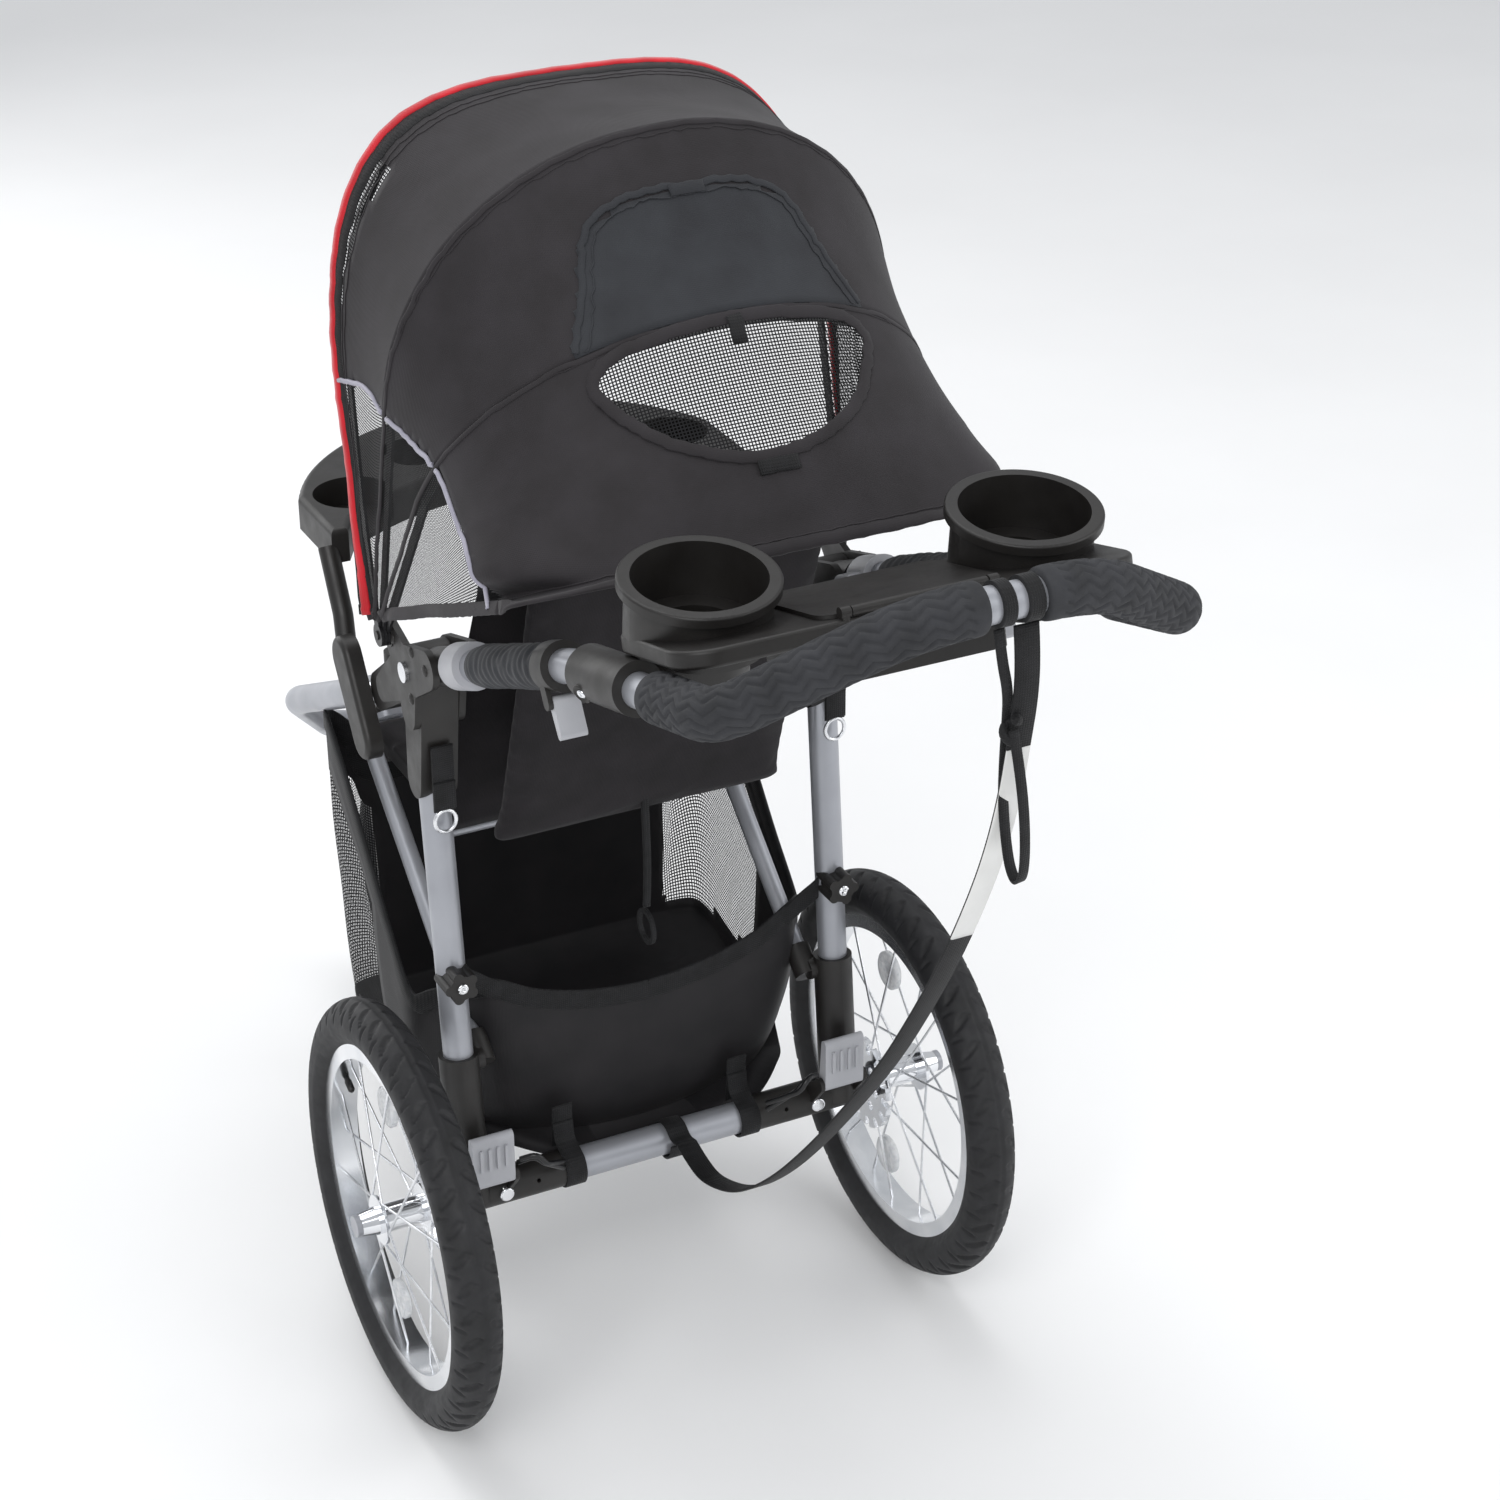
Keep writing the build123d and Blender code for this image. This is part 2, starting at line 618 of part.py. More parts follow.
collar_mid = hinge_point + handle_dir * ((COLLAR_FROM + COLLAR_TO) / 2)
collar_y = collar_mid.Y - AXLE_Y
LEVER_AXIS = (collar_y + 8, collar_mid.Z - 25)
LEVER_W = 22.0
lever_ear = LEVER_W / 2 + GAP
with BuildPart() as lever_lugs:
    for lug_x in (FRAME_X - lever_ear - EAR_T, FRAME_X + lever_ear):
        with BuildSketch(side_plane(lug_x)):
            with Locations(LEVER_AXIS):
                Circle(5.5)
            with Locations((collar_y, collar_mid.Z - 12)):
                Circle(5)
            make_hull()
        extrude(amount=EAR_T)
lever_pin = across(*LEVER_AXIS, FRAME_X - lever_ear - EAR_T, FRAME_X + lever_ear + EAR_T, 2.5)
collar = rod(hinge_point + handle_dir * COLLAR_FROM, hinge_point + handle_dir * COLLAR_TO, COLLAR_D)
left_collar = joined(
    cut(joined(collar, lever_lugs), rod(hinge_point, HANDLE_BEND, socket_d)),
    lever_pin,
)
pieces["lever_collars"] = both(left_collar)
with BuildPart() as left_lever:
    with BuildSketch(side_plane(FRAME_X - LEVER_W / 2)):
        with Locations(LEVER_AXIS):
            Circle(4.6)
        with Locations((LEVER_AXIS[0] + 14, LEVER_AXIS[1] - 22)):
            Circle(3.5)
        make_hull()
    extrude(amount=LEVER_W)
    with BuildSketch(side_plane(FRAME_X - LEVER_W / 2 - 1)):
        with Locations(LEVER_AXIS):
            Circle(2.5 + RUN)
    extrude(amount=LEVER_W + 2, mode=Mode.SUBTRACT)
pieces["left_fold_lever"] = left_lever
pieces["right_fold_lever"] = mirrored(left_lever)

# ---------------------------------------------------------------- parent tray
tray_dir = (HANDLE_CORNER - HANDLE_BEND).normalized()
TRAY_FROM = 34.0              # along the side tube, from its bend
TRAY_TO = 122.0
TRAY_END_R = 21.0
CUP_X = 134.0
CUP_Y = 387.0
CUP_RIM_Z = 963.5
CUP_TILT = 6.0
CUP_R = 50.0
CUP_DEPTH = 45.0
CAN_R = 35.0
CAN_DEPTH = 28.0
CUP_WALL = 4.0
RIM_FLARE = 6.0
DECK_T = 14.0
DECK_W = 376.0
DECK_L = 132.0
BIN_HALF = 72.0
BIN_DEPTH = 34.0
BIN_L = 104.0
BIN_WALL = 3.0

deck_up = Vector(0, -tray_dir.Z, tray_dir.Y)
deck_plane = Plane(origin=place(0, 412, 918), x_dir=(1, 0, 0), z_dir=deck_up)
cup_up = Vector(0, math.sin(math.radians(CUP_TILT)), math.cos(math.radians(CUP_TILT)))
with BuildPart() as tray_body:
    with BuildSketch(deck_plane):
        RectangleRounded(DECK_W, DECK_L, 30)
    extrude(amount=DECK_T)
    fillet(tray_body.faces().sort_by(Axis.Z)[-1].edges(), 3)
    with BuildSketch(deck_plane):
        RectangleRounded(2 * (BIN_HALF + BIN_WALL), BIN_L + 2 * BIN_WALL, 12)
    extrude(amount=-BIN_DEPTH)
    for cup_x in (CUP_X, -CUP_X):
        cup_plane = Plane(origin=place(cup_x, CUP_Y, CUP_RIM_Z), x_dir=(1, 0, 0), z_dir=cup_up)
        with BuildSketch(cup_plane.offset(-8)):
            Circle(CUP_R + CUP_WALL + RIM_FLARE)
        extrude(amount=8, taper=0)
        fillet(tray_body.edges().group_by(Axis.Z)[-1], 2)
        with BuildSketch(cup_plane.offset(-CUP_DEPTH - CUP_WALL)):
            Circle(CUP_R + CUP_WALL)
        extrude(amount=CUP_DEPTH)
        with BuildSketch(cup_plane.offset(-CUP_DEPTH - CAN_DEPTH - CUP_WALL)):
            Circle(CAN_R + CUP_WALL)
        extrude(amount=CAN_DEPTH + CUP_WALL)
tray_ends = [
    rod(
        HANDLE_BEND + tray_dir * TRAY_FROM + Vector(0, 0, 1),
        HANDLE_BEND + tray_dir * TRAY_TO + Vector(0, 0, 1),
        2 * TRAY_END_R,
    )
]
cup_tools = []
for cup_x in (CUP_X, -CUP_X):
    rim_point = place(cup_x, CUP_Y, CUP_RIM_Z)
    cup_tools.append(rod(rim_point + cup_up * 10, rim_point - cup_up * CUP_DEPTH, 2 * CUP_R))
    cup_tools.append(rod(rim_point, rim_point - cup_up * (CUP_DEPTH + CAN_DEPTH), 2 * CAN_R))
with BuildPart() as bin_space:
    with BuildSketch(deck_plane.offset(-BIN_DEPTH + BIN_WALL)):
        RectangleRounded(2 * BIN_HALF, BIN_L, 10)
    extrude(amount=BIN_DEPTH + DECK_T)
tube_tool = rod(HANDLE_BEND + tray_dir * 20, HANDLE_CORNER, socket_d)
grip_room = rod(HANDLE_BEND + tray_dir * (TRAY_TO + 3), HANDLE_CORNER, GRIP_D + 5)
parent_tray_shell = cut(
    joined(tray_body, tray_ends[0], mirrored(tray_ends[0])),
    bin_space,
    tube_tool,
    mirrored(tube_tool),
    grip_room,
    mirrored(grip_room),
    *cup_tools,
)

LID_T = 3.0
LID_HALF = 76.0
LID_FRONT = -58.0
LID_REAR = 56.0
LID_PIN = (62.0, DECK_T + 4.5)         # on the deck's plane: towards the handle bar, and up
LID_PIN_R = 2.0
lid_axis_point = deck_plane.origin + tray_dir * LID_PIN[0] + deck_up * LID_PIN[1]
LID_EAR_X = 60.0
lid_ears = [
    across(lid_axis_point.Y - AXLE_Y, lid_axis_point.Z, x - 4, x + 4, 4.5) for x in (LID_EAR_X, -LID_EAR_X)
]
lid_feet = [
    rod(
        Vector(x, lid_axis_point.Y, lid_axis_point.Z) - deck_up * 6,
        Vector(x, lid_axis_point.Y, lid_axis_point.Z),
        7.9,
    )
    for x in (LID_EAR_X, -LID_EAR_X)
]
lid_pin = across(lid_axis_point.Y - AXLE_Y, lid_axis_point.Z, -LID_EAR_X, LID_EAR_X, LID_PIN_R)
pieces["parent_tray"] = joined(parent_tray_shell, *lid_ears, *lid_feet, lid_pin)

with BuildPart() as lid_plate:
    with BuildSketch(deck_plane.offset(DECK_T + GAP)):
        with Locations((0, (LID_FRONT + LID_REAR) / 2)):
            RectangleRounded(2 * LID_HALF, LID_REAR - LID_FRONT, 14)
    extrude(amount=LID_T)
    with BuildSketch(deck_plane.offset(DECK_T + GAP)):
        with Locations((0, LID_REAR)):
            Rectangle(2 * (LID_EAR_X - 5), 14)
    extrude(amount=LID_T)
lid_barrel = across(
    lid_axis_point.Y - AXLE_Y, lid_axis_point.Z, -(LID_EAR_X - 5), LID_EAR_X - 5, 4.0
)
lid_bore = across(lid_axis_point.Y - AXLE_Y, lid_axis_point.Z, -LID_EAR_X, LID_EAR_X, LID_PIN_R + RUN)
pieces["tray_lid"] = cut(joined(lid_plate, lid_barrel), lid_bore)

# ---------------------------------------------------------------- canopy
def canopy_plane(angle):
    """A plane through the canopy's pivot line: its x is X, its y points out at the angle."""
    turn = math.radians(angle)
    return Plane(
        origin=place(0, *CANOPY_AXIS),
        x_dir=(1, 0, 0),
        z_dir=(0, -math.sin(turn), math.cos(turn)),
    )


def arch(half, spring, rise, power, steps=14):
    """Points of a round-shouldered arch, from its right foot over the top to its left foot."""
    found = []
    for step in range(steps + 1):
        turn = math.pi * step / steps
        c, s = math.cos(turn), math.sin(turn)
        across_x = half * math.copysign(abs(c) ** (2 / power), c)
        found.append((across_x, spring + rise * abs(s) ** (2 / power)))
    return found


BOW_T = 2.5
BOW_W = 10.0
BOWS = {
    # name: (angle, half width, spring, rise, power)
    "rear_bow": (55.0, 215.0, 200.0, 187.0, 2.0),
    "mid_bow": (75.5, 217.8, 235.0, 212.0, 2.0),
    "front_bow": (100.5, 220.6, 110.0, 322.0, 3.4),
}
canopy_pin_bore = across(*CANOPY_AXIS, FRAME_X, FRAME_X + 60, 4 + RUN)
for bow_name, (angle, half, spring, rise, power) in BOWS.items():
    with BuildPart() as bow:
        with BuildSketch(canopy_plane(angle)):
            with BuildLine():
                outer = [(half, 0)] + arch(half, spring, rise, power) + [(-half, 0)]
                inner = [
                    (-half + BOW_T, 0)
                ] + arch(half - BOW_T, spring, rise - 2 * BOW_T, power)[::-1] + [(half - BOW_T, 0)]
                Polyline(*outer, *inner, close=True)
            make_face()
        extrude(amount=BOW_W / 2, both=True)
    ends = joined(
        across(*CANOPY_AXIS, half - BOW_T, half, 10), across(*CANOPY_AXIS, -half, -half + BOW_T, 10)
    )
    pieces[f"canopy_{bow_name}"] = cut(
        joined(bow, ends), canopy_pin_bore, mirrored(canopy_pin_bore)
    )

# the cover is a hood of cloth over the bows, from the front hem to the hem ahead of the tray
CLOTH_T = 2.0
COVER = [
    # angle, hem, half width, spring, rise, power
    (101.5, 20.0, 228.0, 120.0, 321.0, 3.5),
    (75.5, 20.5, 224.5, 235.0, 222.0, 2.0),
    (55.0, 31.0, 222.5, 200.0, 196.0, 2.0),
    (40.0, 62.0, 222.5, 255.0, 128.0, 2.0),
    (31.0, 135.0, 222.5, 302.0, 83.0, 2.0),
    (27.0, 320.0, 222.5, 335.0, 58.0, 2.0),
]
with BuildPart() as canopy_cover:
    for front, back in zip(COVER, COVER[1:]):
        for angle, hem, half, spring, rise, power in (front, back):
            with BuildSketch(canopy_plane(angle)):
                with BuildLine():
                    outer = [(half, hem)] + arch(half, spring, rise, power) + [(-half, hem)]
                    inner = arch(half - CLOTH_T, spring, rise - CLOTH_T, power)[::-1]
                    Polyline(
                        *outer, (-half + CLOTH_T, hem), *inner, (half - CLOTH_T, hem), close=True
                    )
                make_face()
        loft(ruled=True)
pieces["canopy_cover"] = canopy_cover

# ---------------------------------------------------------------- seat
SEAT_HALF = 150.0
SEAT_PIVOT = (-108.0, 512.0)
BACK_LEAN = 19.0
BACK_LONG = 356.0
BACK_T = 22.0
back_dir = Vector(0, math.sin(math.radians(BACK_LEAN)), math.cos(math.radians(BACK_LEAN)))
back_rear = Vector(0, back_dir.Z, -back_dir.Y)
back_plane = Plane(origin=place(0, *SEAT_PIVOT), x_dir=(1, 0, 0), z_dir=back_rear)
with BuildPart() as seat_pad:
    with BuildSketch(side_plane(-SEAT_HALF)):
        with BuildLine():
            Polyline(
                (-132, 500), (-132, 530), (-345, 520), (-352, 505), (-345, 487), (-300, 487), close=True
            )
        make_face()
    extrude(amount=2 * SEAT_HALF)
    fillet(seat_pad.edges().filter_by(Axis.X), 5)
pieces["seat_pad"] = seat_pad
with BuildPart() as seat_back:
    with BuildSketch(back_plane):
        with Locations((0, -BACK_LONG / 2 - 14)):
            RectangleRounded(2 * SEAT_HALF, BACK_LONG, 30)
    extrude(amount=BACK_T / 2, both=True)
    fillet(seat_back.edges().filter_by(GeomType.LINE).group_by(SortBy.LENGTH)[-1], 6)
back_rod = across(*SEAT_PIVOT, -SEAT_HALF - 12, SEAT_HALF + 12, 5)
pieces["cross_tubes"] = joined(seat_cross, back_rod)

# ---------------------------------------------------------------- child tray
CHILD_AXIS = (-145.0, 647.4)
CHILD_PIN_R = 5.0
CHILD_IN = 206.0
child_pin = joined(
    across(*CHILD_AXIS, FRAME_X + TUBE_D / 2 - 1, CHILD_IN - GAP, 11),
    across(*CHILD_AXIS, FRAME_X + TUBE_D / 2, CHILD_IN + 14, CHILD_PIN_R),
)
child_pin_left = cut(
    child_pin, rod(FRONT_TOP, FRONT_BEND, TUBE_D + FIT)
)
pieces["pivot_pins"] = joined(
    hinge_pin, child_pin_left, mirrored(hinge_pin), mirrored(child_pin_left)
)
ARM_T = 15.0
with BuildPart() as child_cap:
    with BuildSketch(side_plane(CHILD_IN)):
        with Locations((-164, 676)):
            Circle(20)
        with Locations((-124, 615)):
            Circle(19)
        make_hull()
    extrude(amount=16)
    fillet(child_cap.faces().sort_by(Axis.X)[-1].edges(), 5)
arm_route = [place(213, -163, 662), place(205.5, -192, 704), place(205, -222, 757)]
child_arm = round_tube(arm_route, 2 * 9.0, 0.0, (40,))
child_bore = across(*CHILD_AXIS, CHILD_IN - 1, CHILD_IN + 15, CHILD_PIN_R + RUN)
child_side = cut(joined(child_cap, child_arm), child_bore)
CHILD_TRAY_Z = 743.0
CHILD_TRAY_T = 32.0
CHILD_TRAY_HALF = 204.0
with BuildPart() as child_deck:
    with BuildSketch(Plane(origin=place(0, 0, CHILD_TRAY_Z))):
        with BuildLine():
            ThreePointArc((CHILD_TRAY_HALF, -300), (0, -440), (-CHILD_TRAY_HALF, -300))
            Polyline(
                (-CHILD_TRAY_HALF, -300), (-CHILD_TRAY_HALF, -214), (-188, -214), (-176, -236)
            )
            ThreePointArc((-176, -236), (0, -298), (176, -236))
            Polyline(
                (176, -236), (188, -214), (CHILD_TRAY_HALF, -214), (CHILD_TRAY_HALF, -300)
            )
        make_face()
    extrude(amount=CHILD_TRAY_T)
    fillet(child_deck.faces().sort_by(Axis.Z)[-1].edges(), 6)
    with BuildSketch(Plane(origin=place(0, 0, CHILD_TRAY_Z + CHILD_TRAY_T))):
        with Locations((157, -286), (-157, -286)):
            Circle(36)
        with Locations((0, -350)):
            RectangleRounded(200, 66, 24)
    extrude(amount=-(CHILD_TRAY_T - 5), mode=Mode.SUBTRACT)
pieces["child_tray"] = joined(child_deck, child_side, mirrored(child_side))

# ---------------------------------------------------------------- harness
with BuildPart() as shoulder_straps:
    for strap_x in (-62, 62):
        with BuildSketch(back_plane.offset(-BACK_T / 2 - GAP)):
            with Locations((strap_x, -206)):
                Rectangle(34, 250)
        extrude(amount=-3)
pieces["seat_back"] = joined(seat_back, shoulder_straps)
with BuildPart() as lap:
    with BuildSketch(Plane(origin=place(0, -190, 529.5))):
        with Locations((-76, 0), (76, 0)):
            Rectangle(105, 26)
        with Locations((0, -56)):
            Rectangle(26, 58)
    extrude(amount=3)
with BuildPart() as buckle:
    with BuildSketch(Plane(origin=place(0, -190, 529.5))):
        RectangleRounded(46, 52, 12)
    extrude(amount=16)
    with BuildSketch(Plane(origin=place(0, -190, 545.5))):
        Circle(11 + GAP)
    extrude(amount=-8, mode=Mode.SUBTRACT)
pieces["lap_harness"] = joined(lap, buckle)
with BuildPart() as buckle_button:
    with BuildSketch(Plane(origin=place(0, -190, 541))):
        Circle(11)
    extrude(amount=6)
pieces["buckle_button"] = buckle_button

# ---------------------------------------------------------------- basket
BASKET_WALL = 3.0
BASKET_MOUTH = 90.0           # how far the inside form stands over the rim


def basket_form(inset, lift, top):
    """The basket's outer form, or with an inset the space inside it."""
    rear_x = 150 - inset
    side_x = 198 - inset
    with BuildPart() as form:
        with BuildSketch(Plane(origin=place(0, 0, 150))):
            with BuildLine():
                Polyline(
                    (rear_x, -22 - inset),
                    (rear_x, -50 - inset / 2),
                    (side_x, -100 - inset / 2),
                    (side_x, -314 + inset),
                    (-side_x, -314 + inset),
                    (-side_x, -100 - inset / 2),
                    (-rear_x, -50 - inset / 2),
                    (-rear_x, -22 - inset),
                    close=True,
                )
            make_face()
        extrude(amount=500)
        with BuildSketch(side_plane(-260)):
            with BuildLine():
                Polyline(
                    (-10, 196 + lift),
                    (-10, 362 + top),
                    (-60, 350 + top),
                    (-112, 348 + top),
                    (-276, 546 + top),
                    (-330, 546 + top),
                    (-330, 240 + lift),
                    (-300, 224 + lift),
                    close=True,
                )
            make_face()
        extrude(amount=520, mode=Mode.INTERSECT)
    return form


# the front wall stops under the seat, and the sides rise past it
FRONT_WALL_TOP = 476.0
with BuildPart() as seat_space:
    with BuildSketch(Plane(origin=place(0, -300, FRONT_WALL_TOP))):
        RectangleRounded(2 * SEAT_HALF + 24, 120, 6)
    extrude(amount=120)
pieces["basket"] = cut(
    basket_form(0, 0, 0), basket_form(BASKET_WALL, BASKET_WALL, BASKET_MOUTH), seat_space
)

# a star knob clamps the basket's webbing to the back of each leg
CLAMP_Z = 424.0
CLAMP_Y = -17.8
with BuildPart() as clamp_knob:
    with BuildSketch(Plane(origin=place(FRAME_X, CLAMP_Y, CLAMP_Z), x_dir=(1, 0, 0), z_dir=(0, 1, 0))):
        Circle(12)
        with PolarLocations(11, 5):
            Circle(5)
    extrude(amount=28)
clamp_knob_cut = cut(clamp_knob, rod(LEG_FOOT, LEG_TOP, socket_d))
pieces["basket_clamps"] = both(clamp_knob_cut)

# a webbing strap and a D ring hang behind each leg from the hinge knuckle
with BuildPart() as side_strap:
    with BuildSketch(Plane(origin=place(FRAME_X, -10.2, 623), x_dir=(1, 0, 0), z_dir=(0, 1, 0))):
        Rectangle(20, 62)
    extrude(amount=1.2, both=True)
with BuildPart() as strap_ring:
    with BuildSketch(Plane(origin=place(FRAME_X, -12.4, 581), x_dir=(1, 0, 0), z_dir=(0, 1, 0))):
        RectangleRounded(30, 21, 8)
        RectangleRounded(23, 14, 5, mode=Mode.SUBTRACT)
    extrude(amount=2.2, both=True)
pieces["side_straps"] = both(joined(side_strap, strap_ring))

# ---------------------------------------------------------------- cords and straps
def cord_radii(route):
    """The largest arcs that fit a cord's corners: 0.45 of the shorter run over tan(turn / 2)."""
    found = []
    for before, point, after in zip(route, route[1:], route[2:]):
        turn = math.radians((point - before).get_angle(after - point))
        run = min((point - before).length, (after - point).length)
        found.append(0.45 * run / math.tan(turn / 2))
    return found


def cord(name, route, diameter):
    """A free cord's tube, with its length and its arcs printed."""
    radii = cord_radii(route)
    made = round_tube(route, diameter, 0.0, radii)
    length = made.part.volume / (math.pi * diameter**2 / 4)
    print(f"{name}: length {length:.0f} mm, arcs", [round(radius) for radius in radii])
    pieces[name] = made


TETHER_X = -14.0
TETHER_D = 10.0
LOOP_WALL = 3.0
bar_y = BAR_SHOULDER.Y - AXLE_Y
bar_z = BAR_SHOULDER.Z
bar_loop_r = TUBE_D / 2 + FIT / 2
tether_bar_loop = across(bar_y, bar_z, TETHER_X - 6, TETHER_X + 6, bar_loop_r + LOOP_WALL, bar_loop_r)
wrist_bar_loop = across(bar_y, bar_z, 2, 12, bar_loop_r + LOOP_WALL, bar_loop_r)
pieces["bar_loops"] = joined(tether_bar_loop, wrist_bar_loop)
tether_route = [
    place(TETHER_X, y, z)
    for y, z in (
        (589, 980), (593, 955), (592, 922), (585, 886), (577, 846), (566, 808), (552, 770),
        (530, 722), (499, 662), (462, 600), (413, 524), (350, 442), (286, 364), (221, 293),
        (155, 236), (96, 208), (64, 204), (34, 213),
    )
]
cord("tether_strap", tether_route, TETHER_D)

WRIST_D = 5.0
wrist_route = [
    place(x, y, z)
    for x, y, z in (
        (7, 588, 980), (5, 590, 957), (-1, 590, 932), (-5, 583, 905), (-7, 578, 872), (-9, 575, 838),
        (-12, 576, 806), (-14, 580, 784), (-15, 588, 776), (-15, 596, 784), (-13, 601, 806),
        (-10, 603, 838), (-7, 600, 872), (-4, 594, 903),
    )
]
cord("wrist_loop", wrist_route, WRIST_D)

RECLINE_D = 7.0
recline_route = [
    place(0, y, z)
    for y, z in (
        (2, 752), (3, 722), (-3, 686), (-8, 648), (-14, 592), (-11, 534), (-9, 480), (-13, 446),
    )
]
cord("recline_cord", recline_route, RECLINE_D)
with BuildPart() as recline_ring:
    with BuildSketch(Plane(origin=place(0, -14, 424), x_dir=(0, 1, 0), z_dir=(1, 0, 0))):
        Circle(17)
        Circle(13, mode=Mode.SUBTRACT)
    extrude(amount=2, both=True)
pieces["recline_ring"] = recline_ring

# ---------------------------------------------------------------- export
os.makedirs("parts", exist_ok=True)
for name, piece in pieces.items():
    piece.part.label = name
    export_step(piece.part, f"parts/{name}.step")
print(len(pieces), "nodes")
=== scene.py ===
import json
import math

import bmesh
import bpy
from mathutils import Matrix, Vector, kdtree, noise


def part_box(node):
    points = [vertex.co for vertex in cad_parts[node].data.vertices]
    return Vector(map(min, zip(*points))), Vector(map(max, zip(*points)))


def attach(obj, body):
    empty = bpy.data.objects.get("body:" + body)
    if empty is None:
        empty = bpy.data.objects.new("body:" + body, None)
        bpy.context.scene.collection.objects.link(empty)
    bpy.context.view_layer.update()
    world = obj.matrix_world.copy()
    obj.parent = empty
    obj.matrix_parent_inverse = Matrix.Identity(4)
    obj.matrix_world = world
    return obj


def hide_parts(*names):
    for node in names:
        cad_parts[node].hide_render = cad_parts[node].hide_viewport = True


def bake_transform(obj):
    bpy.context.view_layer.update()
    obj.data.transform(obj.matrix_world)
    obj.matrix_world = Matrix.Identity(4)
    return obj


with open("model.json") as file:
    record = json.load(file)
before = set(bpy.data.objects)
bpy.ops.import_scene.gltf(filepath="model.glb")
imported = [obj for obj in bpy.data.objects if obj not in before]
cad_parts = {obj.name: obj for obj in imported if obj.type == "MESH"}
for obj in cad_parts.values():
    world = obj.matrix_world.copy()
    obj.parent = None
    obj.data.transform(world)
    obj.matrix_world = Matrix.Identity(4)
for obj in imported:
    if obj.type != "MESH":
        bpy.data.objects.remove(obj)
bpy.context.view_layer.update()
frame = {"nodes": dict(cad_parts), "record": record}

MM = 0.001
axle_low, axle_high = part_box("rear_axle")
AXLE_Y = (axle_low[1] + axle_high[1]) / 2
SIDES = (("left", 1), ("right", -1))


def at(x, y, z):
    """A point in metres, given in millimetres from the rear axle's middle, at floor level."""
    return Vector((x * MM, AXLE_Y + y * MM, z * MM))


# ---------------------------------------------------------------- camera, light and floor
CAMERA_PLACE = (1038.8, 2283.9, 1930.9)
CAMERA_AZIMUTH = 153.54
CAMERA_ELEVATION = 27.79
CAMERA_ROLL = -0.27
CAMERA_LENS = 78.1
SENSOR_WIDTH = 36
# each studio light: its name, place, size and power
LIGHTS = (
    ("key_light", (2.4, 3.2, 3.4), 2.6, 95),
    ("fill_light", (-3.2, 2.2, 2.2), 3.0, 50),
    ("top_light", (0.0, -1.0, 4.2), 3.0, 60),
    ("front_light", (1.2, -3.4, 1.8), 2.4, 36),
)
LIGHTS_AIM = (0, 0, 0.6)
SKY_COLOUR = (0.9, 0.92, 0.95, 1)
SKY_STRENGTH = 0.62
FLOOR_REACH = 9.0


def make_camera():
    """The camera, from its place, the way it looks and its roll about that way."""
    azimuth, elevation, roll = (
        math.radians(angle) for angle in (CAMERA_AZIMUTH, CAMERA_ELEVATION, CAMERA_ROLL)
    )
    back = Vector(
        (
            math.sin(azimuth) * math.cos(elevation),
            -math.cos(azimuth) * math.cos(elevation),
            math.sin(elevation),
        )
    )
    right = (-back).cross(Vector((0, 0, 1))).normalized()
    up = right.cross(-back)
    turned_right = right * math.cos(roll) + up * math.sin(roll)
    turned_up = up * math.cos(roll) - right * math.sin(roll)
    data = bpy.data.cameras.new("camera")
    data.lens = CAMERA_LENS
    data.sensor_width = SENSOR_WIDTH
    camera = bpy.data.objects.new("camera", data)
    bpy.context.scene.collection.objects.link(camera)
    place = Matrix((turned_right, turned_up, back)).transposed().to_4x4()
    place.translation = at(*CAMERA_PLACE)
    camera.matrix_world = place
    bpy.context.scene.camera = camera


def soft_light(name, place, size, power):
    """A square soft box that faces the middle of the stroller."""
    data = bpy.data.lights.new(name, "AREA")
    data.size = size
    data.energy = power
    lamp = bpy.data.objects.new(name, data)
    bpy.context.scene.collection.objects.link(lamp)
    lamp.location = place
    lamp.rotation_mode = "QUATERNION"
    lamp.rotation_quaternion = (Vector(place) - Vector(LIGHTS_AIM)).to_track_quat("Z", "Y")


def make_studio():
    """Soft boxes, a pale surround and a paper floor."""
    for light in LIGHTS:
        soft_light(*light)
    world = bpy.data.worlds.new("studio")
    world.use_nodes = True
    sky = world.node_tree.nodes["Background"]
    sky.inputs["Color"].default_value = SKY_COLOUR
    sky.inputs["Strength"].default_value = SKY_STRENGTH
    bpy.context.scene.world = world
    bpy.context.scene.view_settings.view_transform = "Standard"
    floor_mesh = bpy.data.meshes.new("studio_floor")
    corners = [(x * FLOOR_REACH, y * FLOOR_REACH, 0) for x, y in ((-1, -1), (1, -1), (1, 1), (-1, 1))]
    floor_mesh.from_pydata(corners, [], [(0, 1, 2, 3)])
    floor = bpy.data.objects.new("studio_floor", floor_mesh)
    bpy.context.scene.collection.objects.link(floor)
    floor_mesh.materials.append(painted_paper())


# ---------------------------------------------------------------- materials
def hex_colour(code):
    """An sRGB hex value as the linear colour that a shader takes."""
    levels = [int(code[i : i + 2], 16) / 255 for i in (1, 3, 5)]
    linear = [v / 12.92 if v <= 0.04045 else ((v + 0.055) / 1.055) ** 2.4 for v in levels]
    return (*linear, 1.0)


def add_node(tree, kind, inputs=None, **settings):
    """A node with its settings; an input is a number, a colour or another node's socket."""
    node = tree.nodes.new(kind)
    for name, value in settings.items():
        setattr(node, name, value)
    for name, value in (inputs or {}).items():
        if isinstance(value, bpy.types.NodeSocket):
            tree.links.new(value, node.inputs[name])
        else:
            node.inputs[name].default_value = value
    return node


